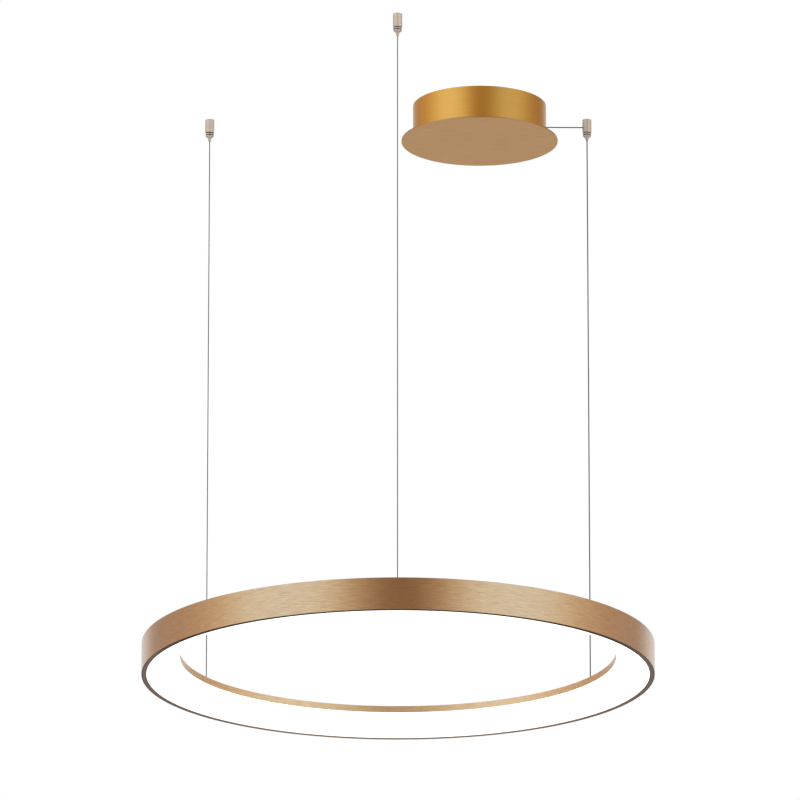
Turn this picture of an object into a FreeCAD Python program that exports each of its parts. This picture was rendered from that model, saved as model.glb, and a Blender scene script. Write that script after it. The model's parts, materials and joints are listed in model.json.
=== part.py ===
"""LED ring chandelier, in millimetres, +Z up.

A glowing ring hangs level on three wires from three ceiling grippers. Its driver sits in a round
canopy, and a thin cable takes its current to the gripper of the powered wire. The origin is on the
ceiling, above the centre of the ring. X is to the right and Y is away from the viewer.
"""

import FreeCAD, Part

import math
import os

import Sketcher

Vector = FreeCAD.Vector

SIZES = {
    # alias: (value, what it is)
    "ring_diameter": (800, "outside of the gold band"),
    "ring_height": (50, "gold band, from foot to top edge"),
    "ring_drop": (970, "from the ceiling down to the foot of the band"),
    "profile_width": (60, "from the outside of the band to the inside of the lip"),
    "band_wall": (2.2, "wall of the gold band"),
    "foot_width": (8, "rim at the foot of the band"),
    "foot_thickness": (2.5, "rim at the foot of the band"),
    "deck_height": (40, "top face of the deck above the foot"),
    "deck_thickness": (2, "deck that carries the board and the anchors"),
    "lip_height": (10.5, "gold lip that hangs from the inner edge of the deck"),
    "lip_thickness": (1.6, "gold lip"),
    "rib_height": (6, "rib behind the lip that grips the diffuser"),
    "rib_thickness": (1.1, "rib behind the lip"),
    "channel_low": (12, "lower edge of the splice channel above the foot"),
    "channel_height": (16, "clear height of the splice channel"),
    "channel_depth": (3, "clear depth of the splice channel"),
    "hook_thickness": (1.3, "hooks that form the splice channel"),
    "hook_reach": (2.5, "how far a hook turns over the splice plate"),
    "diffuser_wall": (2, "opal diffuser"),
    "diffuser_gap": (0.3, "between the diffuser and the profile"),
    "diffuser_inset": (0.8, "how far the diffuser lies above the foot's underside"),
    "diffuser_strip": (7.7, "level strip of the diffuser beside the foot"),
    "diffuser_slope": (30, "degrees that it rises from the strip towards the lip"),
    "diffuser_corner": (4, "outer radius of its two bends"),
    "diffuser_ledge": (4.5, "width of the edge that rests on the foot"),
    "tongue_length": (5.5, "tongue that goes up behind the lip"),
    "splice_angle": (11, "degrees of arc that a splice plate covers"),
    "splice_screw_inset": (1.3, "degrees from a plate's end to its first grub screw"),
    "splice_screw_step": (2.65, "degrees between the two grub screws of a plate's half"),
    "splice_thickness": (2.5, "splice plate"),
    "grub_diameter": (4, "grub screws of the splices and of the canopy"),
    "socket_width": (2, "hexagon socket of a grub screw, across flats"),
    "board_width": (24, "annular circuit board"),
    "board_thickness": (1.6, "annular circuit board"),
    "board_inset": (30, "middle of the board in from the ring's outside"),
    "chip_size": (5, "side of a light-emitting chip"),
    "chip_height": (0.8, "light-emitting chip"),
    "chip_count": (72, "chips on the board"),
    "anchor_inset": (50, "circle of the anchors and grippers in from the ring's outside"),
    "anchor_flange": (11, "diameter of the anchor's flange"),
    "anchor_flange_height": (2, "anchor flange above the deck"),
    "anchor_shank": (5.5, "diameter of the anchor's threaded shank"),
    "anchor_length": (13, "anchor shank below the deck's top face"),
    "nut_width": (8, "anchor nut across flats"),
    "nut_height": (3.5, "anchor nut"),
    "crimp_play": (1, "anchor shank above and below the crimped stop"),
    "crimp_diameter": (3.7, "crimped stop on the end of a wire"),
    "crimp_length": (6.2, "crimped stop"),
    "wire_diameter": (1.6, "bare steel suspension wire"),
    "cable_diameter": (1.9, "powered wire and its cable"),
    "running_gap": (0.05, "radial clearance of a turned fit"),
    "grip_diameter": (14.5, "gripper sleeve"),
    "sleeve_length": (22, "gripper sleeve"),
    "sleeve_round": (1.2, "bevel at the top of the sleeve"),
    "thread_diameter": (10.5, "thread inside the sleeve"),
    "base_length": (6.5, "gripper base on the ceiling"),
    "base_hole": (4.4, "ceiling screw hole in the base"),
    "head_diameter": (8.4, "recess for the head of the ceiling screw"),
    "head_depth": (3.2, "recess for the head of the ceiling screw"),
    "stop_thickness": (1.4, "rib in the sleeve under the base"),
    "side_hole": (3.2, "hole in the side of the sleeve"),
    "side_hole_drop": (14, "side hole below the ceiling"),
    "wire_top": (16, "end of a bare wire below the ceiling"),
    "powered_start": (2.5, "where the powered wire turns into its cable, below the barrel's top"),
    "barrel_top": (17.5, "top of the barrel below the ceiling"),
    "groove_length": (1.4, "each groove beside the lock ring"),
    "lock_ring_diameter": (13.8, "lock ring"),
    "lock_ring_length": (2.2, "lock ring"),
    "collar_diameter": (13.4, "collar of the barrel"),
    "collar_length": (1.2, "straight part of the collar"),
    "collar_taper": (2.2, "tapered part of the collar"),
    "collar_end": (7.8, "diameter where the taper ends"),
    "chamber_diameter": (8, "spring chamber in the barrel"),
    "cone_length": (6.5, "locking cone in the barrel"),
    "cone_end": (5.7, "diameter at the foot of the cone"),
    "guide_length": (2.4, "bore that guides the plunger"),
    "cap_diameter": (8.8, "cap over the spring"),
    "cap_thickness": (0.8, "cap over the spring"),
    "plunger_diameter": (5.6, "release plunger"),
    "plunger_bore": (2.4, "way for the wire through the plunger"),
    "plunger_show": (6.1, "plunger below the barrel"),
    "nozzle_tip": (3.4, "diameter of the plunger's tip"),
    "nozzle_taper": (2.9, "tapered tip of the plunger"),
    "head_flange": (6.6, "flange that the spring pushes on"),
    "head_flange_height": (1.2, "flange that the spring pushes on"),
    "head_rise": (2, "underside of that flange above the balls' centres"),
    "ball_diameter": (2.3, "locking balls"),
    "ball_gap": (0.03, "play of a ball between wire and cone"),
    "spring_diameter": (6, "outside of the coil spring"),
    "spring_wire": (0.5, "wire of the coil spring"),
    "spring_turns": (3.5, "turns of the coil spring"),
    "canopy_x": (130, "centre of the canopy to the right of the ring's"),
    "canopy_y": (108, "centre of the canopy behind the ring's"),
    "drum_diameter": (213, "canopy drum"),
    "drum_height": (57, "canopy drum"),
    "drum_wall": (1.5, "canopy drum, side and floor"),
    "disc_diameter": (250, "canopy disc"),
    "disc_thickness": (2, "canopy disc"),
    "disc_bevel": (0.4, "bevel on the disc's edges"),
    "stud_circle": (156, "circle of the disc's studs"),
    "stud_diameter": (4, "stud on the disc"),
    "stud_length": (8, "stud above the disc"),
    "stud_nut_width": (7, "nut on a stud, across flats"),
    "stud_nut_height": (3.2, "nut on a stud"),
    "bracket_reach": (104, "centre of the bracket to the face of its tab"),
    "bracket_width": (25, "ceiling bracket"),
    "bracket_thickness": (2, "ceiling bracket"),
    "bracket_bend": (3.5, "outer radius of its bends"),
    "tab_depth": (16, "tabs below the ceiling"),
    "bracket_spacing": (90, "ceiling screws of the bracket"),
    "bracket_hole": (5.2, "ceiling screw hole in the bracket"),
    "supply_hole": (12, "hole for the supply in the bracket"),
    "side_screw_drop": (9, "side screws below the ceiling"),
    "side_screw_length": (6, "side screws"),
    "cable_hole_drop": (22, "cable bush below the ceiling"),
    "bush_neck": (4.4, "cable bush in the drum's wall"),
    "bush_flange": (8, "inner flange of the cable bush"),
    "bush_lip": (5.6, "outer lip of the cable bush"),
    "bush_flange_height": (1.2, "inner flange of the cable bush"),
    "bush_lip_height": (0.5, "outer lip of the cable bush"),
    "driver_length": (150, "driver case"),
    "driver_width": (42, "driver case"),
    "driver_height": (22, "driver case without its lid"),
    "driver_lid_height": (3, "driver lid"),
    "driver_corner": (4, "corner radius of the driver"),
    "driver_offset": (47, "driver in front of the canopy's centre"),
    "pad_thickness": (1, "foam pad under the driver"),
    "terminal_length": (30, "terminal block"),
    "terminal_width": (17, "terminal block"),
    "terminal_height": (14, "terminal block"),
    "terminal_offset": (23, "terminal block to the left of the canopy's centre"),
    "terminal_corner": (1.5, "corner radius of the terminal block"),
    "terminal_depth": (2, "how far a lead goes into the terminal block"),
    "lead_level": (13.2, "leads into the driver above its underside"),
    "lead_diameter": (2.4, "insulated lead inside the canopy"),
    "pole_pitch": (9, "pitch of the terminal block's poles"),
    "feed_size": (10, "side of the feed terminal on the board"),
    "feed_height": (6, "feed terminal on the board"),
    "feed_lead": (1.2, "insulated lead inside the ring"),
    "feed_dip": (2.6, "straight start of the feed leads below the anchor"),
    "lid_screw_head": (5, "head of a driver lid screw"),
    "lid_screw_height": (1.6, "head of a driver lid screw"),
    "lid_screw_slot": (0.8, "slot of a driver lid screw"),
    "lid_screw_inset": (6.5, "driver lid screws from the lid's sides"),
}

ANCHOR_ANGLES = {"near": -90, "left": 150, "right": 30}
POWERED = "right"

doc = FreeCAD.newDocument("led_ring_chandelier")
sheet = doc.addObject("Spreadsheet::Sheet", "Sizes")
for row, (alias, (value, note)) in enumerate(SIZES.items(), start=1):
    sheet.set(f"A{row}", alias)
    sheet.set(f"B{row}", str(value))
    sheet.set(f"C{row}", note)
    sheet.setAlias(f"B{row}", alias)
doc.recompute()


class Dim:
    """A number together with the sheet expression that gives it."""

    def __init__(self, value, text):
        self.value = float(value)
        self.text = text

    def __add__(self, other):
        other = dim(other)
        return Dim(self.value + other.value, f"({self.text} + {other.text})")

    def __sub__(self, other):
        other = dim(other)
        return Dim(self.value - other.value, f"({self.text} - {other.text})")

    def __mul__(self, other):
        other = dim(other)
        return Dim(self.value * other.value, f"({self.text} * {other.text})")

    def __truediv__(self, other):
        other = dim(other)
        return Dim(self.value / other.value, f"({self.text} / {other.text})")

    def __radd__(self, other):
        return dim(other) + self

    def __rsub__(self, other):
        return dim(other) - self

    def __rmul__(self, other):
        return dim(other) * self

    def __neg__(self):
        return Dim(-self.value, f"(0 - {self.text})")


def dim(number):
    """The number as a Dim; a Dim stays as it is."""
    if isinstance(number, Dim):
        return number
    return Dim(number, f"({float(number):.6f})")


def size(alias):
    """A size from the sheet."""
    return Dim(sheet.get(alias), f"Sizes.{alias}")


def sine(angle):
    angle = dim(angle)
    return Dim(math.sin(math.radians(angle.value)), f"sin({angle.text})")


def cosine(angle):
    angle = dim(angle)
    return Dim(math.cos(math.radians(angle.value)), f"cos({angle.text})")


def bind(thing, path, number):
    """Binds a property, or a part of one, to the sheet."""
    thing.setExpression(path, dim(number).text)


def put(thing, x=0, y=0, z=0, turn=0):
    """Moves an object to x, y, z, turned about Z."""
    for axis, number in (("x", x), ("y", y), ("z", z)):
        bind(thing, f"Placement.Base.{axis}", number)
    if dim(turn).value:
        thing.Placement.Rotation = FreeCAD.Rotation(Vector(0, 0, 1), dim(turn).value)
    return thing


# ---------------------------------------------------------------- sketches and features


def new_body(label):
    body = doc.addObject("PartDesign::Body", label)
    body.Label = label
    return body


def new_sketch(body, role, lift=None):
    """A sketch on one of the body's own planes, moved along its normal by lift."""
    sketch = body.newObject("Sketcher::SketchObject", body.Name + "_sketch")
    plane = next(f for f in body.Origin.OriginFeatures if f.Role == role)
    sketch.AttachmentSupport = [(plane, "")]
    sketch.MapMode = "FlatFace"
    if lift is not None:
        bind(sketch, "AttachmentOffset.Base.z", lift)
    return sketch


def hold(sketch, kind, geometry, point, number):
    """Fixes one coordinate of a point of the sketch."""
    number = dim(number)
    index = sketch.addConstraint(Sketcher.Constraint(kind, -1, 1, geometry, point, number.value))
    sketch.setExpression(f"Constraints[{index}]", number.text)


def arc_between(start, end, centre):
    """The shorter arc from start to end about centre, and whether it runs clockwise."""
    from_angle = math.atan2(start[1] - centre[1], start[0] - centre[0])
    to_angle = math.atan2(end[1] - centre[1], end[0] - centre[0])
    radius = math.hypot(start[0] - centre[0], start[1] - centre[1])
    turn = (to_angle - from_angle + math.pi) % (2 * math.pi) - math.pi
    clockwise = turn < 0
    low = to_angle if clockwise else from_angle
    circle = Part.Circle(Vector(*centre, 0), Vector(0, 0, 1), radius)
    return Part.ArcOfCircle(circle, low, low + abs(turn)), clockwise


def outline(sketch, corners):
    """A closed outline. A corner is (x, y), or (x, y, (centre x, centre y)) where an arc follows."""
    spots = [(dim(c[0]).value, dim(c[1]).value) for c in corners]
    centres = [c[2] if len(c) == 3 else None for c in corners]
    ends = []
    for i, (spot, centre) in enumerate(zip(spots, centres)):
        following = spots[(i + 1) % len(spots)]
        if centre is None:
            line = Part.LineSegment(Vector(*spot, 0), Vector(*following, 0))
            ends.append((sketch.addGeometry(line, False), 1, 2))
        else:
            middle = (dim(centre[0]).value, dim(centre[1]).value)
            arc, clockwise = arc_between(spot, following, middle)
            index = sketch.addGeometry(arc, False)
            ends.append((index, 2, 1) if clockwise else (index, 1, 2))
    for (index, _, last), (following, first, _) in zip(ends, ends[1:] + ends[:1]):
        sketch.addConstraint(Sketcher.Constraint("Coincident", index, last, following, first))
    for i, (index, first, _) in enumerate(ends):
        kinds = ["DistanceX", "DistanceY"]
        before = centres[i - 1]
        if before is not None:
            # The arc's centre and start already give its radius, so its end needs one coordinate.
            across = abs(spots[i][0] - dim(before[0]).value)
            along = abs(spots[i][1] - dim(before[1]).value)
            kinds = ["DistanceY"] if across > along else ["DistanceX"]
        for kind in kinds:
            hold(sketch, kind, index, first, corners[i][0 if kind == "DistanceX" else 1])
        if centres[i] is not None:
            hold(sketch, "DistanceX", index, 3, centres[i][0])
            hold(sketch, "DistanceY", index, 3, centres[i][1])


def rounded(x0, y0, x1, y1, radius):
    """Corners of a rectangle with rounded corners, counter-clockwise."""
    return [
        (x0 + radius, y0),
        (x1 - radius, y0, (x1 - radius, y0 + radius)),
        (x1, y0 + radius),
        (x1, y1 - radius, (x1 - radius, y1 - radius)),
        (x1 - radius, y1),
        (x0 + radius, y1, (x0 + radius, y1 - radius)),
        (x0, y1 - radius),
        (x0, y0 + radius, (x0 + radius, y0 + radius)),
    ]


def turned(label, corners, sweep=360):
    """A body turned about Z from an outline of (radius, height) corners."""
    body = new_body(label)
    sketch = new_sketch(body, "XZ_Plane")
    outline(sketch, corners)
    revolution = body.newObject("PartDesign::Revolution", label + "_turned")
    revolution.Profile = sketch
    revolution.ReferenceAxis = (sketch, ["V_Axis"])
    revolution.Angle = sweep
    sketch.Visibility = False
    return body


def pad(body, role, corners, length, lift=None, midplane=False):
    """Adds a pad of the outline to the body."""
    sketch = new_sketch(body, role, lift)
    outline(sketch, corners)
    feature = body.newObject("PartDesign::Pad", body.Name + "_pad")
    feature.Profile = sketch
    bind(feature, "Length", length)
    feature.Midplane = midplane
    sketch.Visibility = False
    return feature


def hexagon(width):
    """Corners of a hexagon across flats, about the origin."""
    reach = width / (2 * cosine(30))
    return [(reach * cosine(60 * i), reach * sine(60 * i)) for i in range(6)]


def rod(label, diameter, length, x=0, y=0, z=0, heading=None):
    """A cylinder that starts at x, y, z and points up, or level along heading in degrees."""
    cylinder = doc.addObject("Part::Cylinder", label)
    bind(cylinder, "Radius", dim(diameter) / 2)
    bind(cylinder, "Height", length)
    put(cylinder, x, y, z)
    if heading is not None:
        across = math.radians(dim(heading).value + 90)
        axis = Vector(math.cos(across), math.sin(across), 0)
        cylinder.Placement.Rotation = FreeCAD.Rotation(axis, 90)
    return cylinder


def cut(label, base, tools):
    """The base with the tools cut out of it."""
    result = doc.addObject("Part::Cut", label)
    result.Label = label
    base.Label = label + "_blank"
    if len(tools) > 1:
        joined = doc.addObject("Part::MultiFuse", label + "_holes")
        joined.Shapes = tools
        tools = [joined]
    result.Base = base
    result.Tool = tools[0]
    return result


def copies(label, source, placements):
    """One node of equal pieces: the source's shape at each placement."""
    doc.recompute()
    group = doc.addObject("Part::Feature", label)
    group.Label = label
    shapes = []
    for placement in placements:
        shape = source.Shape.copy()
        shape.Placement = placement.multiply(source.Shape.Placement)
        shapes.append(shape)
    group.Shape = Part.makeCompound(shapes)
    return group


def around(angle, radius=0.0, z=0.0):
    """A placement that is turned about Z by angle, then moved out by radius and up by z."""
    turn = FreeCAD.Rotation(Vector(0, 0, 1), angle)
    return FreeCAD.Placement(turn.multVec(Vector(radius, 0, 0)) + Vector(0, 0, z), turn)


def tube(label, points, diameter):
    """A round tube along straight runs that are joined by tangent arcs. Prints its radii."""
    edges = []
    radii = []
    start = points[0]
    for before, corner, after in zip(points, points[1:], points[2:]):
        toward = (before - corner).normalize()
        away = (after - corner).normalize()
        half_turn = (math.pi - toward.getAngle(away)) / 2
        reach = 0.45 * min((before - corner).Length, (after - corner).Length)
        radius = reach / math.tan(half_turn)
        entry = corner + toward * reach
        leave = corner + away * reach
        middle_way = (toward + away).normalize()
        gap = radius / math.cos(half_turn) - radius
        edges.append(Part.LineSegment(start, entry).toShape())
        edges.append(Part.Arc(entry, corner + middle_way * gap, leave).toShape())
        radii.append(round(radius, 1))
        start = leave
    edges.append(Part.LineSegment(start, points[-1]).toShape())
    path = Part.Wire(edges)
    heading = points[1] - points[0]
    section = Part.Wire([Part.makeCircle(diameter / 2, points[0], heading)])
    solid = path.makePipeShell([section], True, False)
    share = solid.Volume / (math.pi * diameter**2 / 4 * path.Length)
    print(f"{label}: length {path.Length:.1f}, radii {radii}, volume over section x length {share:.3f}")
    thing = doc.addObject("Part::Feature", label)
    thing.Label = label
    thing.Shape = solid
    return thing


# ---------------------------------------------------------------- ring

ring_radius = size("ring_diameter") / 2
board_radius = ring_radius - size("board_inset")
anchor_radius = ring_radius - size("anchor_inset")
lip_radius = ring_radius - size("profile_width")
foot_level = -size("ring_drop")
deck_top = foot_level + size("deck_height")
deck_under = deck_top - size("deck_thickness")
band_inside = ring_radius - size("band_wall")
lip_outside = lip_radius + size("lip_thickness")
lip_foot = deck_top - size("lip_height")
tongue_inside = lip_outside + size("diffuser_gap")
tongue_outside = tongue_inside + 0.75 * size("diffuser_wall")
rib_inside = tongue_outside + size("diffuser_gap")
rib_outside = rib_inside + size("rib_thickness")
channel_low = foot_level + size("channel_low")
channel_high = channel_low + size("channel_height")
hook_inside = band_inside - size("channel_depth")
hook_face = hook_inside - size("hook_thickness")


def profile_corners():
    """Section of the ring profile: band, foot, splice channel, deck, rib and lip."""
    hook = size("hook_thickness")
    reach = size("hook_reach")
    foot_top = foot_level + size("foot_thickness")
    return [
        (ring_radius - size("foot_width"), foot_level),
        (ring_radius, foot_level),
        (ring_radius, foot_level + size("ring_height")),
        (band_inside, foot_level + size("ring_height")),
        (band_inside, deck_top),
        (lip_radius, deck_top),
        (lip_radius, lip_foot),
        (lip_outside, lip_foot),
        (lip_outside, deck_under),
        (rib_inside, deck_under),
        (rib_inside, deck_under - size("rib_height")),
        (rib_outside, deck_under - size("rib_height")),
        (rib_outside, deck_under),
        (band_inside, deck_under),
        (band_inside, channel_high + hook),
        (hook_face, channel_high + hook),
        (hook_face, channel_high - reach),
        (hook_inside, channel_high - reach),
        (hook_inside, channel_high),
        (band_inside, channel_high),
        (band_inside, channel_low),
        (hook_inside, channel_low),
        (hook_inside, channel_low + reach),
        (hook_face, channel_low + reach),
        (hook_face, channel_low - hook),
        (band_inside, channel_low - hook),
        (band_inside, foot_top),
        (ring_radius - size("foot_width"), foot_top),
    ]


def half_ring(label, start, anchors):
    """Half of the rolled profile, from the start angle on, with a hole for each of its anchors."""
    blank = turned(label + "_profile", profile_corners(), sweep=180)
    put(blank, turn=start)
    holes = []
    for name in anchors:
        angle = ANCHOR_ANGLES[name]
        holes.append(
            rod(
                f"{label}_{name}_hole",
                size("anchor_shank") + 4 * size("running_gap"),
                size("deck_thickness") * 3,
                anchor_radius * cosine(angle),
                anchor_radius * sine(angle),
                deck_under - size("deck_thickness"),
            )
        )
    return cut(label, blank, holes)


def diffuser():
    """Opal cover: a ledge on the foot, a level strip, a slope up to the lip and a tongue behind it."""
    gap = size("diffuser_gap")
    wall = size("diffuser_wall")
    slope = size("diffuser_slope")
    outer = size("diffuser_corner")
    inner = outer - wall
    inside = lip_radius + gap
    step_radius = ring_radius - size("foot_width") - gap
    step_level = foot_level + size("diffuser_inset")
    ledge_under = foot_level + size("foot_thickness") + size("running_gap")
    ledge_top = ledge_under + wall
    bend_r = step_radius - size("diffuser_strip")
    bend_z = step_level + outer
    top_r = inside + outer
    top_z = bend_z + (bend_r - top_r) * sine(slope) / cosine(slope)
    return turned(
        "opal_diffuser",
        [
            (step_radius, step_level),
            (step_radius, ledge_under),
            (step_radius + size("diffuser_ledge"), ledge_under),
            (step_radius + size("diffuser_ledge"), ledge_top),
            (step_radius - wall, ledge_top),
            (step_radius - wall, step_level + wall),
            (bend_r, step_level + wall, (bend_r, bend_z)),
            (bend_r - inner * sine(slope), bend_z - inner * cosine(slope)),
            (top_r - inner * sine(slope), top_z - inner * cosine(slope), (top_r, top_z)),
            (inside + wall, top_z),
            (inside + wall, lip_foot - 2 * gap),
            (tongue_outside, lip_foot - 2 * gap),
            (tongue_outside, lip_foot + size("tongue_length")),
            (tongue_inside, lip_foot + size("tongue_length")),
            (tongue_inside, lip_foot - gap),
            (inside, lip_foot - gap),
            (inside, top_z, (top_r, top_z)),
            (top_r - outer * sine(slope), top_z - outer * cosine(slope)),
            (bend_r - outer * sine(slope), bend_z - outer * cosine(slope), (bend_r, bend_z)),
            (bend_r, step_level),
        ],
    )


def splices():
    """Two curved plates in the splice channel and the grub screws that press them outwards."""
    gap = size("running_gap")
    outside = band_inside - gap
    inside = outside - size("splice_thickness")
    low = channel_low + gap
    high = channel_high - gap
    blank = turned(
        "splice_blank",
        [(inside, low), (outside, low), (outside, high), (inside, high)],
        sweep=size("splice_angle").value,
    )
    middle = (channel_low + channel_high) / 2
    inset = size("splice_screw_inset").value
    second = inset + size("splice_screw_step").value
    whole = size("splice_angle").value
    places = [inset, second, whole - second, whole - inset]
    holes = []
    for i, angle in enumerate(places):
        diameter = size("grub_diameter") + 2 * gap
        start = inside - size("splice_thickness")
        hole = rod(
            f"splice_hole_{i}",
            diameter,
            size("splice_thickness") * 3,
            start * cosine(angle),
            start * sine(angle),
            middle,
            heading=angle,
        )
        holes.append(hole)
    plate = cut("splice_plate", blank, holes)
    centring = whole / 2
    plates = copies("splice_plates", plate, [around(a - centring) for a in (0, 180)])

    length = size("splice_thickness") + size("channel_depth") / 2
    screw = grub_screw("splice_grub", length)
    spots = []
    for seam in (0, 180):
        for angle in places:
            spot = around(seam + angle - centring, (outside - length).value, middle.value)
            spots.append(spot.multiply(FreeCAD.Placement(Vector(), Vector(0, 1, 0), 90)))
    return [plates, copies("splice_screws", screw, spots)]


def grub_screw(label, length):
    """A headless screw along +Z from its socket end."""
    body = new_body(label)
    diameter = size("grub_diameter")
    sketch = new_sketch(body, "XY_Plane")
    circle = Part.Circle(Vector(0, 0, 0), Vector(0, 0, 1), diameter.value / 2)
    index = sketch.addGeometry(circle, False)
    sketch.addConstraint(Sketcher.Constraint("Coincident", index, 3, -1, 1))
    radius = sketch.addConstraint(Sketcher.Constraint("Radius", index, diameter.value / 2))
    sketch.setExpression(f"Constraints[{radius}]", (diameter / 2).text)
    shank = body.newObject("PartDesign::Pad", label + "_shank")
    shank.Profile = sketch
    bind(shank, "Length", length)
    socket = new_sketch(body, "XY_Plane")
    outline(socket, hexagon(size("socket_width")))
    pocket = body.newObject("PartDesign::Pocket", label + "_socket")
    pocket.Profile = socket
    bind(pocket, "Length", size("socket_width") * 0.8)
    pocket.Reversed = True
    return body


def board():
    """The annular circuit board, its chips, and the feed terminal with its two leads."""
    half = size("board_width") / 2
    middle = board_radius
    under = deck_under - size("board_thickness")
    plate = turned(
        "circuit_board",
        [
            (middle - half, under),
            (middle + half, under),
            (middle + half, deck_under),
            (middle - half, deck_under),
        ],
    )
    chip = new_body("chip")
    side = size("chip_size") / 2
    level = under - size("chip_height")
    corners = [
        (middle - side, -side),
        (middle + side, -side),
        (middle + side, side),
        (middle - side, side),
    ]
    pad(chip, "XY_Plane", corners, size("chip_height"), lift=level)
    count = int(size("chip_count").value)
    step = 360.0 / count
    chips = copies("light_chips", chip, [around(step * i) for i in range(count)])

    feed = new_body("feed_terminal")
    feed_half = size("feed_size") / 2
    corners = rounded(middle - feed_half, -feed_half, middle + feed_half, feed_half, feed_half / 5)
    pad(feed, "XY_Plane", corners, size("feed_height"), lift=under - size("feed_height"))
    feed_angle = ANCHOR_ANGLES[POWERED] + step / 2
    put(feed, turn=feed_angle)
    return [plate, chips, feed, feed_leads(feed_angle, under)]


def feed_leads(feed_angle, board_under):
    """Two leads from the crimp of the powered wire to the feed terminal."""
    anchor = around(ANCHOR_ANGLES[POWERED])
    terminal = around(feed_angle)
    bottom = deck_top - size("anchor_length")
    start_r = anchor_radius.value
    end_r = (board_radius - size("feed_size") / 2).value
    level = (board_under - size("feed_height") / 2).value
    spread = size("feed_lead").value * 0.75
    dip = Vector(0, 0, -size("feed_dip").value)
    solids = []
    for side in (-1, 1):
        start = anchor.multVec(Vector(start_r, side * spread, bottom.value))
        end = terminal.multVec(Vector(end_r, side * 2 * spread, level))
        entry = terminal.multVec(Vector(end_r + 1.5 * dip.z, side * 2 * spread, level))
        across = Vector(end.x - start.x, end.y - start.y, 0)
        points = [
            start,
            start + dip,
            start + across * 0.14 + dip * 1.75,
            start + across * 0.42 + dip * 1.5,
            start + across * 0.66 - dip * 0.3,
            entry,
            end,
        ]
        solids.append(tube(f"feed_lead_{side + 2}", points, size("feed_lead").value))
    return copies("feed_leads", joined_shape("feed_lead_pair", solids), [FreeCAD.Placement()])


def joined_shape(label, things):
    """A compound of the things."""
    compound = doc.addObject("Part::Compound", label)
    compound.Links = things
    return compound


def wire_size(name):
    """Diameter of the wire at an anchor."""
    return size("cable_diameter") if name == POWERED else size("wire_diameter")


def spot(name):
    """Where an anchor and its gripper stand, in plan."""
    angle = ANCHOR_ANGLES[name]
    return anchor_radius * cosine(angle), anchor_radius * sine(angle)


def anchor(name):
    """A flanged bush through the deck. The crimped end of the wire is caught in its foot."""
    bore = wire_size(name) / 2 + 2 * size("running_gap")
    recess = size("crimp_diameter") / 2 + size("running_gap")
    shank = size("anchor_shank") / 2
    foot = deck_top - size("anchor_length")
    seat = foot + size("crimp_length") + size("crimp_play")
    bush = turned(
        f"wire_anchor_{name}",
        [
            (recess, foot),
            (shank, foot),
            (shank, deck_top),
            (size("anchor_flange") / 2, deck_top),
            (size("anchor_flange") / 2, deck_top + size("anchor_flange_height") * 0.6),
            (size("anchor_flange") / 2 - 1, deck_top + size("anchor_flange_height")),
            (bore, deck_top + size("anchor_flange_height")),
            (bore, seat),
            (recess, seat),
        ],
    )
    return put(bush, *spot(name))


def crimp(name):
    """The crimped stop on the lower end of a wire, up against its seat in the bush."""
    foot = deck_top - size("anchor_length")
    seat = foot + size("crimp_length") + size("crimp_play")
    bore = wire_size(name) / 2 + size("running_gap")
    outside = size("crimp_diameter") / 2
    top = seat - size("running_gap")
    low = top - size("crimp_length")
    stop = turned(
        f"wire_crimp_{name}",
        [(bore, low), (outside, low), (outside, top), (bore, top)],
    )
    return put(stop, *spot(name))


def anchor_nuts():
    """The nuts that clamp the anchors to the deck, as one group."""
    blank = new_body("anchor_nut_blank")
    low = deck_under - size("nut_height")
    pad(blank, "XY_Plane", hexagon(size("nut_width")), size("nut_height"), lift=low)
    bore = size("anchor_shank") + 2 * size("running_gap")
    hole = rod("anchor_nut_hole", bore, size("nut_height") * 3, z=low - size("nut_height"))
    nut = cut("anchor_nut", blank, [hole])
    radius = anchor_radius.value
    return copies("anchor_nuts", nut, [around(a, radius) for a in ANCHOR_ANGLES.values()])


# ---------------------------------------------------------------- grippers

thread = size("thread_diameter") / 2
barrel_top = -size("barrel_top")
lock_top = -size("sleeve_length") - size("groove_length")
lock_foot = lock_top - size("lock_ring_length")
collar_top = lock_foot - size("groove_length")
barrel_foot = collar_top - size("collar_length") - size("collar_taper")
cone_foot = barrel_foot + size("guide_length")
cone_head = cone_foot + size("cone_length")
cone_rate = (size("chamber_diameter") - size("cone_end")) / (2 * size("cone_length"))
cap_under = barrel_top - size("cap_thickness")


def ball_place(name):
    """Radius and height of the balls' centres, where they just lie between wire and cone."""
    ball = size("ball_diameter") / 2
    slant = math.hypot(1.0, cone_rate.value)
    radius = wire_size(name) / 2 + ball + size("ball_gap")
    height = cone_foot + (radius + ball * slant + size("ball_gap") - size("cone_end") / 2) / cone_rate
    return radius, height


def base(name):
    """The plug that is screwed to the ceiling. The sleeve screws on to it."""
    outside = thread - size("running_gap")
    hole = size("base_hole") / 2
    recess = size("head_diameter") / 2
    floor = -size("base_length")
    plug = turned(
        f"gripper_base_{name}",
        [
            (hole, 0),
            (outside, 0),
            (outside, floor),
            (recess, floor),
            (recess, floor + size("head_depth")),
            (hole, floor + size("head_depth")),
        ],
    )
    return put(plug, *spot(name))


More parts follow.
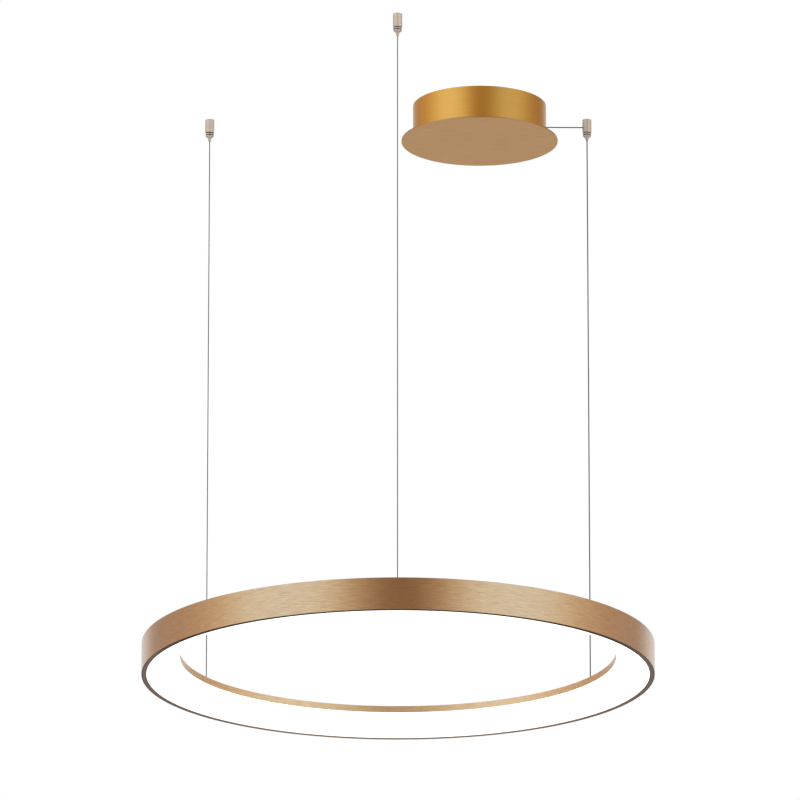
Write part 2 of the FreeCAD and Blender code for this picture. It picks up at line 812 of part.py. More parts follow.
def sleeve(name, heading):
    """The nickel sleeve, with a stop rib for the base and a side hole for the wire's end."""
    outside = size("grip_diameter") / 2
    bevel = size("sleeve_round")
    stop_top = -size("base_length")
    stop_foot = stop_top - size("stop_thickness")
    stop = size("head_diameter") / 2
    foot = -size("sleeve_length")
    blank = turned(
        f"gripper_sleeve_{name}_turned",
        [
            (thread, 0),
            (outside - bevel, 0, (outside - bevel, -bevel)),
            (outside, -bevel),
            (outside, foot + bevel / 3),
            (outside - bevel / 3, foot),
            (thread, foot),
            (thread, stop_foot),
            (stop, stop_foot),
            (stop, stop_top),
            (thread, stop_top),
        ],
    )
    side = rod(
        f"gripper_sleeve_{name}_side_hole",
        size("side_hole"),
        size("grip_diameter"),
        z=-size("side_hole_drop"),
        heading=heading,
    )
    return put(cut(f"gripper_sleeve_{name}", blank, [side]), *spot(name))


def barrel(name):
    """The barrel: a threaded spigot, a tapered collar, and the locking cone and chamber inside."""
    cap = size("cap_diameter") / 2
    chamber = size("chamber_diameter") / 2
    guide = size("cone_end") / 2
    spigot = thread - size("running_gap")
    body = turned(
        f"gripper_barrel_{name}",
        [
            (cap, barrel_top),
            (cap, cap_under),
            (chamber, cap_under),
            (chamber, cone_head),
            (guide, cone_foot),
            (guide, barrel_foot),
            (size("collar_end") / 2, barrel_foot),
            (size("collar_diameter") / 2, barrel_foot + size("collar_taper")),
            (size("collar_diameter") / 2, collar_top),
            (spigot, collar_top),
            (spigot, barrel_top),
        ],
    )
    return put(body, *spot(name))


def lock_ring(name):
    """The ring that locks the barrel against the sleeve, with bevelled edges."""
    bevel = size("groove_length") / 3
    outside = size("lock_ring_diameter") / 2
    ring = turned(
        f"gripper_lock_ring_{name}",
        [
            (thread, lock_foot),
            (outside - bevel, lock_foot),
            (outside, lock_foot + bevel),
            (outside, lock_top - bevel),
            (outside - bevel, lock_top),
            (thread, lock_top),
        ],
    )
    return put(ring, *spot(name))


def cap(name):
    """The cap over the spring, pressed into the top of the barrel."""
    outside = size("cap_diameter") / 2 - size("running_gap")
    bore = size("plunger_bore") / 2
    washer = turned(
        f"gripper_cap_{name}",
        [(bore, cap_under), (outside, cap_under), (outside, barrel_top), (bore, barrel_top)],
    )
    return put(washer, *spot(name))


def plunger(name):
    """The release plunger: a tapered nozzle, a shank with three ball windows and a spring flange."""
    _, ball_level = ball_place(name)
    rise = ball_level - ball_place("near")[1]
    tip = barrel_foot - size("plunger_show") + rise
    bore = size("plunger_bore") / 2
    shank = size("plunger_diameter") / 2
    flange_under = ball_level + size("head_rise")
    flange = size("head_flange") / 2
    blank = turned(
        f"release_plunger_{name}_turned",
        [
            (bore, tip),
            (size("nozzle_tip") / 2, tip),
            (shank, tip + size("nozzle_taper")),
            (shank, flange_under),
            (flange, flange_under),
            (flange, flange_under + size("head_flange_height")),
            (bore, flange_under + size("head_flange_height")),
        ],
    )
    windows = []
    for heading in (0, 120, 240):
        windows.append(
            rod(
                f"release_plunger_{name}_window_{heading}",
                size("ball_diameter") + 2 * size("running_gap"),
                size("plunger_diameter"),
                z=ball_level,
                heading=heading,
            )
        )
    return put(cut(f"release_plunger_{name}", blank, windows), *spot(name))


def balls(name):
    """The three locking balls in the windows of the plunger."""
    radius, height = ball_place(name)
    spheres = []
    for heading in (0, 120, 240):
        ball = doc.addObject("Part::Sphere", f"ball_{name}_{heading}")
        bind(ball, "Radius", size("ball_diameter") / 2)
        put(ball, radius * cosine(heading), radius * sine(heading), height)
        spheres.append(ball)
    trio = joined_shape(f"locking_balls_{name}", spheres)
    return put(trio, *spot(name))


def spring(name):
    """The coil spring between the plunger's flange and the cap, in quarter-turn arcs."""
    _, ball_level = ball_place(name)
    low = ball_level + size("head_rise") + size("head_flange_height")
    wire = size("spring_wire").value
    radius = (size("spring_diameter").value - wire) / 2
    clear = size("running_gap").value
    start = low.value + wire / 2 + clear
    rise = (cap_under - low).value - wire - 2 * clear
    quarters = int(round(size("spring_turns").value * 4))

    def point(turns):
        angle = 2 * math.pi * turns
        height = start + rise * turns * 4 / quarters
        return Vector(radius * math.cos(angle), radius * math.sin(angle), height)

    arcs = []
    for i in range(quarters):
        arc = Part.Arc(point(i / 4), point((i + 0.5) / 4), point((i + 1) / 4))
        arcs.append(arc.toShape())
    path = Part.Wire(arcs)
    section = Part.Wire([Part.makeCircle(wire / 2, point(0), point(0.01) - point(0))])
    coil = doc.addObject("Part::Feature", f"gripper_spring_{name}")
    coil.Label = f"gripper_spring_{name}"
    coil.Shape = path.makePipeShell([section], True, False)
    print(f"{coil.Label}: least gap between turns {rise * 4 / quarters - wire:.2f}")
    x, y = spot(name)
    coil.Placement = FreeCAD.Placement(Vector(x.value, y.value, 0), FreeCAD.Rotation())
    return coil


def suspension_wire(name, label):
    """A straight wire from inside the gripper down to its crimp."""
    top = barrel_top - size("powered_start") if name == POWERED else -size("wire_top")
    foot = deck_top - size("anchor_length")
    low = foot + size("crimp_play") - size("running_gap")
    wire = rod(label, wire_size(name), top - low, *spot(name), low)
    wire.Label = label
    return wire


# ---------------------------------------------------------------- canopy

canopy_x = size("canopy_x")
canopy_y = size("canopy_y")
drum_radius = size("drum_diameter") / 2
drum_inside = drum_radius - size("drum_wall")
drum_foot = -size("drum_height")
drum_floor = drum_foot + size("drum_wall")
cable_heading = math.degrees(
    math.atan2(
        (spot(POWERED)[1] - canopy_y).value,
        (spot(POWERED)[0] - canopy_x).value,
    )
)


def on_canopy(thing, turn=0):
    return put(thing, canopy_x, canopy_y, 0, turn)


def drum():
    """A spun cup, open to the ceiling, with holes for the cable, side screws and disc studs."""
    blank = turned(
        "canopy_drum_spun",
        [
            (0, drum_foot),
            (drum_radius - size("drum_wall"), drum_foot, (drum_inside, drum_floor)),
            (drum_radius, drum_floor),
            (drum_radius, 0),
            (drum_inside, 0),
            (drum_inside, drum_floor),
            (0, drum_floor),
        ],
    )
    tools = [
        rod(
            "canopy_cable_hole",
            size("bush_neck") + 4 * size("running_gap"),
            drum_radius,
            z=-size("cable_hole_drop"),
            heading=cable_heading,
        )
    ]
    for heading in (0, 180):
        hole = size("grub_diameter") + 4 * size("running_gap")
        drop = -size("side_screw_drop")
        tools.append(rod(f"canopy_side_hole_{heading}", hole, drum_radius * 1.1, z=drop, heading=heading))
    for index in range(4):
        angle = 90 * index
        tools.append(
            rod(
                f"canopy_stud_hole_{index}",
                size("stud_diameter") + 4 * size("running_gap"),
                size("drum_wall") * 3,
                size("stud_circle") / 2 * cosine(angle),
                size("stud_circle") / 2 * sine(angle),
                drum_foot - size("drum_wall"),
            )
        )
    return on_canopy(cut("canopy_drum", blank, tools))


def disc():
    """The thin disc under the drum, with four welded studs."""
    radius = size("disc_diameter") / 2
    bevel = size("disc_bevel")
    top = drum_foot
    low = drum_foot - size("disc_thickness")
    plate = turned(
        "canopy_disc_plate",
        [
            (0, low),
            (radius - bevel, low),
            (radius, low + bevel),
            (radius, top - bevel),
            (radius - bevel, top),
            (0, top),
        ],
    )
    pieces = [plate]
    for index in range(4):
        angle = 90 * index
        pieces.append(
            rod(
                f"canopy_disc_stud_{index}",
                size("stud_diameter"),
                size("stud_length") + size("disc_thickness") / 2,
                size("stud_circle") / 2 * cosine(angle),
                size("stud_circle") / 2 * sine(angle),
                top - size("disc_thickness") / 2,
            )
        )
    whole = doc.addObject("Part::MultiFuse", "canopy_disc")
    whole.Label = "canopy_disc"
    whole.Shapes = pieces
    return on_canopy(whole)


def disc_nuts():
    """The nuts on the disc's studs, seated on the floor of the drum."""
    blank = new_body("disc_nut_blank")
    height = size("stud_nut_height")
    pad(blank, "XY_Plane", hexagon(size("stud_nut_width")), height, lift=drum_floor)
    bore = size("stud_diameter") + 2 * size("running_gap")
    hole = rod("disc_nut_hole", bore, height * 3, z=drum_floor - height)
    nut = cut("disc_nut", blank, [hole])
    radius = (size("stud_circle") / 2).value
    centre = FreeCAD.Placement(Vector(canopy_x.value, canopy_y.value, 0), FreeCAD.Rotation())
    spots = [centre.multiply(around(90 * i, radius)) for i in range(4)]
    return copies("disc_nuts", nut, spots)


def bracket():
    """A bent strip on the ceiling, with tabs for the side screws and holes for its own screws."""
    reach = size("bracket_reach")
    wall = size("bracket_thickness")
    bend = size("bracket_bend")
    depth = size("tab_depth")
    outer = reach - bend
    inner = bend - wall
    blank = new_body("ceiling_bracket_bent")
    corners = [
        (-reach, -depth),
        (wall - reach, -depth),
        (wall - reach, -bend, (-outer, -bend)),
        (wall - reach + inner, -wall),
        (outer, -wall, (outer, -bend)),
        (reach - wall, -bend),
        (reach - wall, -depth),
        (reach, -depth),
        (reach, -bend, (outer, -bend)),
        (outer, 0),
        (-outer, 0, (-outer, -bend)),
        (-reach, -bend),
    ]
    pad(blank, "XZ_Plane", corners, size("bracket_width"), midplane=True)
    tools = [rod("bracket_supply_hole", size("supply_hole"), wall * 3, z=-2 * wall)]
    for side in (-1, 1):
        x = side * size("bracket_spacing") / 2
        tools.append(rod(f"bracket_hole_{side + 1}", size("bracket_hole"), wall * 3, x, 0, -2 * wall))
    drop = -size("side_screw_drop")
    for heading in (0, 180):
        hole = size("grub_diameter") + 2 * size("running_gap")
        tools.append(rod(f"bracket_tab_hole_{heading}", hole, reach * 1.1, z=drop, heading=heading))
    return on_canopy(cut("ceiling_bracket", blank, tools))


def side_screws():
    """The two grub screws through the drum into the bracket's tabs, just below the surface."""
    screw = grub_screw("side_grub", size("side_screw_length"))
    outer_end = (drum_radius - size("drum_wall") / 4).value
    centre = FreeCAD.Placement(Vector(canopy_x.value, canopy_y.value, 0), FreeCAD.Rotation())
    spots = []
    for heading in (0, 180):
        spot_here = around(heading, outer_end, -size("side_screw_drop").value)
        inward = FreeCAD.Placement(Vector(), Vector(0, 1, 0), -90)
        spots.append(centre.multiply(spot_here).multiply(inward))
    return copies("canopy_side_screws", screw, spots)


def cable_bush():
    """The soft bush that the cable leaves the drum by."""
    gap = size("running_gap")
    bore = size("cable_diameter") / 2 + 8 * gap
    neck = size("bush_neck") / 2
    wall_out = drum_radius + 2 * gap
    wall_in = drum_inside - 4 * gap
    bush = turned(
        "bush_turned",
        [
            (bore, wall_in - size("bush_flange_height")),
            (size("bush_flange") / 2, wall_in - size("bush_flange_height")),
            (size("bush_flange") / 2, wall_in),
            (neck, wall_in),
            (neck, wall_out),
            (size("bush_lip") / 2, wall_out),
            (size("bush_lip") / 2 - size("bush_lip_height") / 2, wall_out + size("bush_lip_height")),
            (bore, wall_out + size("bush_lip_height")),
        ],
    )
    outward = FreeCAD.Placement(Vector(), Vector(0, 1, 0), 90)
    centre = FreeCAD.Placement(
        Vector(canopy_x.value, canopy_y.value, -size("cable_hole_drop").value),
        FreeCAD.Rotation(Vector(0, 0, 1), cable_heading),
    )
    return copies("cable_bush", bush, [centre.multiply(outward)])


def driver():
    """The driver: a case with a stepped lid, stuck to the floor with a foam pad."""
    length = size("driver_length") / 2
    width = size("driver_width") / 2
    y = -size("driver_offset")
    radius = size("driver_corner")
    foam = new_body("driver_foam_pad")
    inset = 2 * radius
    corners = rounded(inset - length, y - width + radius, length - inset, y + width - radius, radius)
    pad(foam, "XY_Plane", corners, size("pad_thickness"), lift=drum_floor)
    case = new_body("driver_case")
    floor = drum_floor + size("pad_thickness")
    corners = rounded(-length, y - width, length, y + width, radius)
    pad(case, "XY_Plane", corners, size("driver_height"), lift=floor)
    lid = new_body("driver_lid")
    step = radius / 4
    corners = rounded(step - length, y - width + step, length - step, y + width - step, radius)
    pad(lid, "XY_Plane", corners, size("driver_lid_height"), lift=floor + size("driver_height"))
    lid_top = floor + size("driver_height") + size("driver_lid_height")
    screws = lid_screws(length - size("lid_screw_inset"), width - size("lid_screw_inset"), y, lid_top)
    return [*(on_canopy(thing) for thing in (foam, case, lid)), screws]


def lid_screws(reach_x, reach_y, y, level):
    """Four slotted pan-head screws, one in each corner of the driver's lid."""
    radius = size("lid_screw_head") / 2
    height = size("lid_screw_height")
    blank = turned(
        "lid_screw_blank",
        [
            (0, level),
            (radius, level),
            (radius, level + height / 2, (radius - height / 2, level + height / 2)),
            (radius - height / 2, level + height),
            (0, level + height),
        ],
    )
    slot = doc.addObject("Part::Box", "lid_screw_slot")
    bind(slot, "Length", radius * 2)
    bind(slot, "Width", size("lid_screw_slot"))
    bind(slot, "Height", height)
    put(slot, -radius, -size("lid_screw_slot") / 2, level + height / 2)
    screw = cut("lid_screw", blank, [slot])
    spots = []
    for side_x in (-1, 1):
        for side_y in (-1, 1):
            corner = (canopy_x + side_x * reach_x, canopy_y + y + side_y * reach_y)
            spots.append(FreeCAD.Placement(Vector(*(d.value for d in corner), 0), FreeCAD.Rotation()))
    return copies("driver_screws", screw, spots)


def terminal_block():
    """The three-pole terminal block under the bracket, with a hole for each lead."""
    block = new_body("terminal_block_body")
    half = size("terminal_length") / 2
    width = size("terminal_width") / 2
    x = -size("terminal_offset")
    top = -size("bracket_thickness")
    corners = rounded(x - half, -width, x + half, width, size("terminal_corner"))
    pad(block, "XY_Plane", corners, size("terminal_height"), lift=top - size("terminal_height"))
    tools = []
    for pole in (-1, 0, 1):
        tools.append(
            rod(
                f"terminal_way_{pole + 1}",
                size("lead_diameter") * 1.3,
                size("terminal_width") * 2,
                x + pole * size("pole_pitch"),
                -size("terminal_width"),
                top - size("terminal_height") / 2,
                heading=90,
            )
        )
    return on_canopy(cut("terminal_block", block, tools))


def mains_leads():
    """Two insulated leads from the terminal block to the left end of the driver."""
    level = (-size("bracket_thickness") - size("terminal_height") / 2).value
    inside = size("terminal_depth").value
    face = -(size("terminal_width") / 2).value + inside
    driver_end = -(size("driver_length") / 2).value
    driver_y = -size("driver_offset").value
    driver_z = (drum_floor + size("pad_thickness") + size("lead_level")).value
    solids = []
    beyond = driver_end - 12.0
    over = driver_y + (size("driver_width") / 2).value
    for index, pole in enumerate((-1, 0)):
        x = (-size("terminal_offset") + pole * size("pole_pitch")).value
        side = 3.0 if index else -3.0
        apart = 3.5 * index
        points = [
            Vector(x, face, level),
            Vector(x, face - 8, level - 1),
            Vector(x - 16, face - 14 + apart, level - 6),
            Vector(driver_end + 11, over + 3 + apart, level - 10 + apart),
            Vector(beyond + 1, over - 4 + apart, level - 16 + apart),
            Vector(beyond + apart, driver_y + side, driver_z),
            Vector(driver_end, driver_y + side, driver_z),
        ]
        solids.append(tube(f"mains_lead_{index}", points, size("lead_diameter").value))
    place = FreeCAD.Placement(Vector(canopy_x.value, canopy_y.value, 0), FreeCAD.Rotation())
    return copies("mains_leads", joined_shape("mains_lead_pair", solids), [place])


def power_cable():
    """The cable from the powered wire, out of the gripper's side and through the drum's bush."""
    x, y = (d.value for d in spot(POWERED))
    centre = Vector(canopy_x.value, canopy_y.value, 0)
    way = FreeCAD.Rotation(Vector(0, 0, 1), cable_heading).multVec(Vector(1, 0, 0))
    side_level = -size("side_hole_drop").value
    bush_level = -size("cable_hole_drop").value
    grip_wall = Vector(x, y, side_level) - way * (size("grip_diameter") / 2).value
    bush = centre + way * drum_radius.value + Vector(0, 0, bush_level)
    run = (bush - grip_wall).normalize()
    axis_hit = grip_wall - run * ((size("grip_diameter") / 2).value / abs(run.dot(way)))
    start = Vector(x, y, (barrel_top - size("powered_start")).value)
    inside = bush + run * 18
    driver_end = (size("driver_length") / 2).value
    driver_y = -size("driver_offset").value
    driver_z = (drum_floor + size("pad_thickness") + size("lead_level")).value
    points = [
        start,
        axis_hit,
        inside,
        centre + Vector(driver_end + 13, 10, bush_level - 4),
        centre + Vector(driver_end + 16, -18, bush_level - 10),
        centre + Vector(driver_end + 12, driver_y, driver_z),
        centre + Vector(driver_end, driver_y, driver_z),
    ]
    return tube("power_cable", points, size("cable_diameter").value)


# ---------------------------------------------------------------- assembly

nodes = [
    half_ring("ring_half_front", 180, ["near"]),
    half_ring("ring_half_back", 0, ["left", "right"]),
    diffuser(),
    *splices(),
    *board(),
    anchor_nuts(),
]
for anchor_name in ANCHOR_ANGLES:
    heading = 180 + cable_heading if anchor_name == POWERED else 90
    nodes += [
        anchor(anchor_name),
        crimp(anchor_name),
        base(anchor_name),
        sleeve(anchor_name, heading),
        barrel(anchor_name),
        lock_ring(anchor_name),
        cap(anchor_name),
        plunger(anchor_name),
        balls(anchor_name),
        spring(anchor_name),
    ]
nodes += [
    suspension_wire("near", "suspension_wire_near"),
    suspension_wire("left", "suspension_wire_left"),
    suspension_wire("right", "powered_wire_right"),
    drum(),
    disc(),
    disc_nuts(),
    bracket(),
    side_screws(),
    cable_bush(),
    *driver(),
    terminal_block(),
    mains_leads(),
    power_cable(),
]
doc.recompute()

faults = [o.Label for o in doc.Objects if {"Invalid", "Error"} & set(o.State)]
for thing in nodes:
    if thing.Shape.isNull() or not thing.Shape.isValid() or not thing.Shape.Solids:
        faults.append(thing.Label)
if faults:
    raise RuntimeError(f"these objects failed: {faults}")

os.makedirs("parts", exist_ok=True)
for thing in nodes:
    thing.Shape.exportStep(f"parts/{thing.Label}.step")
    print(f"{thing.Label}: {len(thing.Shape.Solids)} solid(s), {thing.Shape.Volume / 1000:.2f} cm3")
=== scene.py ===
"""Surfaces, finishes, wires and light for a glowing ring chandelier, in metres, +Z up.

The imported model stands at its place, with the ceiling at z = 0. This script lays finer surfaces
over its rolled, spun and turned pieces, twists and hangs its wires, gives every piece its finish,
and sets the light and the camera. X is to the right and Y is away from the viewer.
"""

import json
import math

import bmesh
import bpy
import numpy as np
from bpy.props import FloatProperty, FloatVectorProperty, IntProperty, PointerProperty
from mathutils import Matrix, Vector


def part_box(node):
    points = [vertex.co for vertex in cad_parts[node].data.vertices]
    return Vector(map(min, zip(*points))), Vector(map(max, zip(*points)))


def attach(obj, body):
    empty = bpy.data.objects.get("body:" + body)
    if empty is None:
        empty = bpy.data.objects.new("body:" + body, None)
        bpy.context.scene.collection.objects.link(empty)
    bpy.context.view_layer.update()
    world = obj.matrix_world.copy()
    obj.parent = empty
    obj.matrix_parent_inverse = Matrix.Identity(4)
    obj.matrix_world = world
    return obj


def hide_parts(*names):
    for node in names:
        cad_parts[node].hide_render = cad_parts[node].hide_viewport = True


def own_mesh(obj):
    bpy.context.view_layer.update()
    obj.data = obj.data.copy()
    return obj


bl_info = {
    "name": "Ring Chandelier Finish",
    "version": (1, 0, 0),
    "blender": (4, 5, 0),
    "location": "3D View > Sidebar > Chandelier",
    "description": "Surfaces, wires, finishes and light for a glowing ring chandelier",
    "category": "Object",
}

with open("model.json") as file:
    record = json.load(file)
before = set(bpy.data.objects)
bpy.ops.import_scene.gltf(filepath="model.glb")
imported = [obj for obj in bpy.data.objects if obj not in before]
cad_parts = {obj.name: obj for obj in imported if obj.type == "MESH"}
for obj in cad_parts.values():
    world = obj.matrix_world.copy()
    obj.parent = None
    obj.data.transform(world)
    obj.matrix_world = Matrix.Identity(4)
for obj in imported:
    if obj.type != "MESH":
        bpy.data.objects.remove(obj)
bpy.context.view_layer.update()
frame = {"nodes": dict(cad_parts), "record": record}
PLACES = ("near", "left", "right")
POWERED = "right"
FULL_TURN = 2 * math.pi
FLIPPED = [0, 3, 2, 1]  # order of a face's corners when it is turned over


def middle(node):
    """Where the middle of a node stands, in plan."""
    low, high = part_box(node)
    return (low[0] + high[0]) / 2, (low[1] + high[1]) / 2


def radius_of(node):
    """Half of a node's width."""
    low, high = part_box(node)
    return (high[0] - low[0]) / 2


RING_LOW, RING_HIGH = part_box("ring_half_front")
RING_RADIUS = RING_HIGH[0]
RING_FOOT = RING_LOW[2]
RING_TOP = RING_HIGH[2]
DISC_LOW, DISC_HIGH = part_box("canopy_disc")
CANOPY = middle("canopy_disc")


# ---------------------------------------------------------------- sizes and colours


def length(name, description, metres):
    """A length that a user may change."""
    return FloatProperty(
        name=name, description=description, default=metres, min=0.0, precision=5, unit="LENGTH"
    )


def angle(name, description, radians):
    """An angle that a user may change."""
    return FloatProperty(name=name, description=description, default=radians, subtype="ANGLE")


def number(name, description, value):
    """A plain number that a user may change."""
    return FloatProperty(name=name, description=description, default=value, min=0.0)


def count(name, description, steps):
    """A number of steps or pieces that a user may change."""
    return IntProperty(name=name, description=description, default=steps, min=3)


def colour(name, description, shade):
    """A colour that a user may change."""
    return FloatVectorProperty(
        name=name, description=description, default=shade, size=3, min=0.0, max=1.0, subtype="COLOR"
    )


class ProfileSizes(bpy.types.PropertyGroup):
    """Section of the rolled ring profile and of its opal cover."""

    width: length("Profile width", "From the outside of the band to the inside of the lip", 0.060)
    band_wall: length("Band wall", "Wall of the gold band", 0.0022)
    foot_width: length("Foot width", "Rim at the foot of the band", 0.008)
    foot_thickness: length("Foot thickness", "Rim at the foot of the band", 0.0025)
    deck_height: length("Deck height", "Top of the deck above the foot", 0.040)
    deck_thickness: length("Deck thickness", "Deck that carries the board and the anchors", 0.002)
    lip_height: length("Lip height", "Gold lip that hangs from the inner edge of the deck", 0.0105)
    lip_thickness: length("Lip thickness", "Gold lip", 0.0016)
    rib_height: length("Rib height", "Rib behind the lip that grips the cover", 0.006)
    rib_thickness: length("Rib thickness", "Rib behind the lip", 0.0011)
    channel_low: length("Channel foot", "Lower edge of the splice channel above the foot", 0.012)
    channel_height: length("Channel height", "Clear height of the splice channel", 0.016)
    channel_depth: length("Channel depth", "Clear depth of the splice channel", 0.003)
    hook_thickness: length("Hook thickness", "Hooks that form the splice channel", 0.0013)
    hook_reach: length("Hook reach", "How far a hook turns over the splice plate", 0.0025)
    cover_wall: length("Cover wall", "Opal cover", 0.002)
    cover_gap: length("Cover gap", "Between the cover and the profile", 0.0003)
    cover_inset: length("Cover inset", "How far the cover lies above the foot's underside", 0.0008)
    cover_strip: length("Cover strip", "Flat strip of the cover beside the rim", 0.0077)
    cover_slope: angle("Cover slope", "Rise of its underside to the centre", math.radians(30))
    cover_corner: length("Cover corner", "Outer radius of the cover's bends", 0.004)
    cover_ledge: length("Cover ledge", "Width of the edge that rests on the foot", 0.0045)
    tongue: length("Tongue", "Tongue of the cover that goes up behind the lip", 0.0055)
    edge_round: length("Edge round", "Radius of the profile's edges", 0.0004)
    arc_steps: count("Arc steps", "Steps of half the ring", 360)


class CanopySizes(bpy.types.PropertyGroup):
    """Sizes of the spun drum and of its disc."""

    wall: length("Drum wall", "Side and floor of the drum", 0.0015)
    side_hole: length("Side hole", "Diameter of the holes for the side screws", 0.0042)
    side_hole_drop: length("Side hole drop", "Side screws below the ceiling", 0.009)
    cable_hole: length("Cable hole", "Diameter of the hole for the cable bush", 0.0046)
    disc_thickness: length("Disc thickness", "Disc under the drum", 0.002)
    disc_bevel: length("Disc bevel", "Bevel on the disc's edges", 0.0004)
    stud_circle: length("Stud circle", "Circle of the disc's studs", 0.156)
    stud: length("Stud", "Diameter of a stud", 0.004)
    steps: count("Steps", "Steps round the drum and the disc", 288)


class WireSizes(bpy.types.PropertyGroup):
    """How the bare wires are laid."""

    strands: count("Strands", "Strands round the core of a bare wire", 6)
    lay: length("Lay", "Length of one full twist of a bare wire", 0.0105)
    steps: count("Steps", "Rings of a strand in one twist", 9)
    sides: count("Sides", "Sides of a strand", 7)


class GripperSizes(bpy.types.PropertyGroup):
    """Sizes of the threads and springs of the grippers."""

    thread: length("Thread", "Diameter of the barrel's thread over its crests", 0.0112)
    thread_depth: length("Thread depth", "From crest to root", 0.0004)
    thread_pitch: length("Thread pitch", "From crest to crest", 0.00075)
    thread_wall: length("Thread wall", "From root to the smooth bore", 0.0001)
    thread_low: length("Thread foot", "Lower end of the open thread below the ceiling", 0.0271)
    thread_high: length("Thread top", "Upper end of the open thread below the ceiling", 0.0218)
    spring_wire: length("Spring wire", "Wire of the coil springs", 0.0005)
    spring_turns: number("Spring turns", "Turns of a coil spring", 3.5)


class Finishes(bpy.types.PropertyGroup):
    """Colours of the finishes."""

    gold: colour("Brushed gold", "Anodised ring profile", (0.735, 0.580, 0.405))
    gold_scratch: colour("Brushed gold scratches", "Its darker scratches", (0.545, 0.375, 0.225))
    # Painted highlight: a paler copy of the band's gold, so that the lip's inner face looks brightly lit.
    lip: colour("Lip gold", "Inner face of the ring's lip", (0.920, 0.720, 0.480))
    rim: colour("Foot rim", "Cut underside of the ring profile", (0.200, 0.128, 0.086))
    # Painted shade: the dark colour that both edges of the foot's underside turn to.
    rim_edge: colour("Foot rim edges", "Dark edges of the cut underside", (0.045, 0.028, 0.018))
    disc: colour("Brushed disc", "Brushed disc of the canopy", (0.660, 0.433, 0.203))
    disc_scratch: colour("Brushed disc scratches", "Its darker scratches", (0.580, 0.362, 0.162))
    drum: colour("Satin gold", "Spun drum of the canopy", (0.820, 0.490, 0.110))
    drum_shade: colour("Satin gold shade", "Darker bands of the drum", (0.780, 0.450, 0.092))
    nickel: colour("Satin nickel", "Sleeves of the grippers", (0.665, 0.580, 0.512))
    bright: colour("Bright nickel", "Turned parts of the grippers", (0.660, 0.615, 0.575))
    glow: colour("Glow", "Light of the opal cover", (1.0, 1.0, 1.0))
    wire: colour("Wire steel", "Bare wires", (0.165, 0.168, 0.182))
    jacket: colour("Cable jacket", "Jacket of the powered wire and its cable", (0.088, 0.088, 0.090))


class StageSettings(bpy.types.PropertyGroup):
    """Camera, lamps, cards and floor."""

    camera_side: length("Camera side", "Camera to the right of the ring's centre", 0.0305)
    camera_back: length("Camera back", "Camera in front of the ring", 13.541)
    camera_drop: length("Camera drop", "Camera below the ring's foot", 3.556)
    camera_pitch: angle("Camera pitch", "Tilt upwards", 0.28755)
    camera_yaw: angle("Camera yaw", "Turn to the left", 0.00203)
    lens: number("Lens", "Focal length in millimetres", 404.1)
    floor_drop: length("Floor drop", "Floor below the ceiling", 2.5)
    lamp: number("Lamp", "Power of each lamp in watts", 55.0)
    screen_reach: length("Screen reach", "Smoke-grey screen from the middle of the drum", 0.45)
    screen_tint: number("Screen tint", "Share of the light that the screen lets through", 0.74)
    card_reach: length("Card reach", "Dark card from the ring's axis", 0.375)
    card_tint: number("Card tint", "Share of the light that the dark card lets through", 0.05)
    sky: number("Sky", "Light from all round on matt surfaces", 0.62)


# ---------------------------------------------------------------- surfaces


def rounded(corners, radius, steps=3):
    """The outline with each corner turned into an arc that touches both its sides.

    The arc's centre lies on the corner's bisector, radius / sin(half the angle) from the corner, and
    the arc's points are a spherical blend of the two directions from that centre to where it touches.
    radius may be one number or one for each corner. It shrinks where a side is too short for it.
    """
    points = np.array(corners, float)
    before = np.roll(points, 1, axis=0) - points
    after = np.roll(points, -1, axis=0) - points
    reach = 0.6 * np.minimum(np.linalg.norm(before, axis=1), np.linalg.norm(after, axis=1))
    before /= np.linalg.norm(before, axis=1, keepdims=True)
    after /= np.linalg.norm(after, axis=1, keepdims=True)
    half = np.arccos(np.clip((before * after).sum(axis=1), -1, 1)) / 2
    radii = np.minimum(np.broadcast_to(radius, half.shape), reach * np.tan(half))
    bisector = before + after
    bisector /= np.linalg.norm(bisector, axis=1, keepdims=True)
    centres = points + bisector * (radii / np.sin(half))[:, None]
    start = points + before * (radii / np.tan(half))[:, None] - centres
    end = points + after * (radii / np.tan(half))[:, None] - centres
    sweep = (math.pi - 2 * half)[:, None, None]
    share = np.linspace(0, 1, steps + 1)[None, :, None]
    arcs = np.sin((1 - share) * sweep) * start[:, None] + np.sin(share * sweep) * end[:, None]
    return (centres[:, None] + arcs / np.sin(sweep)).reshape(-1, 2)


def closed_on_axis(corners, radii):
    """A rounded outline whose first and last corners lie on the axis it is turned about."""
    outline = rounded(corners, np.maximum(radii, 1e-6))
    outline[:, 0] = np.maximum(outline[:, 0], 0.0)
    return outline


def about(centre, radii, angles, heights):
    """Points (n, 3) about a vertical axis, from arrays that broadcast to one shape."""
    x = centre[0] + radii * np.cos(angles)
    y = centre[1] + radii * np.sin(angles)
    return np.stack(np.broadcast_arrays(x, y, heights), axis=-1).reshape(-1, 3)


def grid(rows, columns, wraps, flip=False):
    """Faces of a grid of points, whose point (i, j) is number i * columns + j.

    Gives the numbers of each face's four corners, and their i and j, which count on past the last
    point where the grid wraps round. flip turns the faces over.
    """
    shape = (rows if wraps[0] else rows - 1, columns if wraps[1] else columns - 1)
    i, j = np.indices(shape)
    i = np.stack([i, i, i + 1, i + 1], axis=-1)
    j = np.stack([j, j + 1, j + 1, j], axis=-1)
    if flip:
        i, j = i[..., FLIPPED], j[..., FLIPPED]
    return i % rows * columns + j % columns, i, j


def linked(name, data):
    """A new object of the data, in the scene."""
    thing = bpy.data.objects.new(name, data)
    bpy.context.collection.objects.link(thing)
    return thing


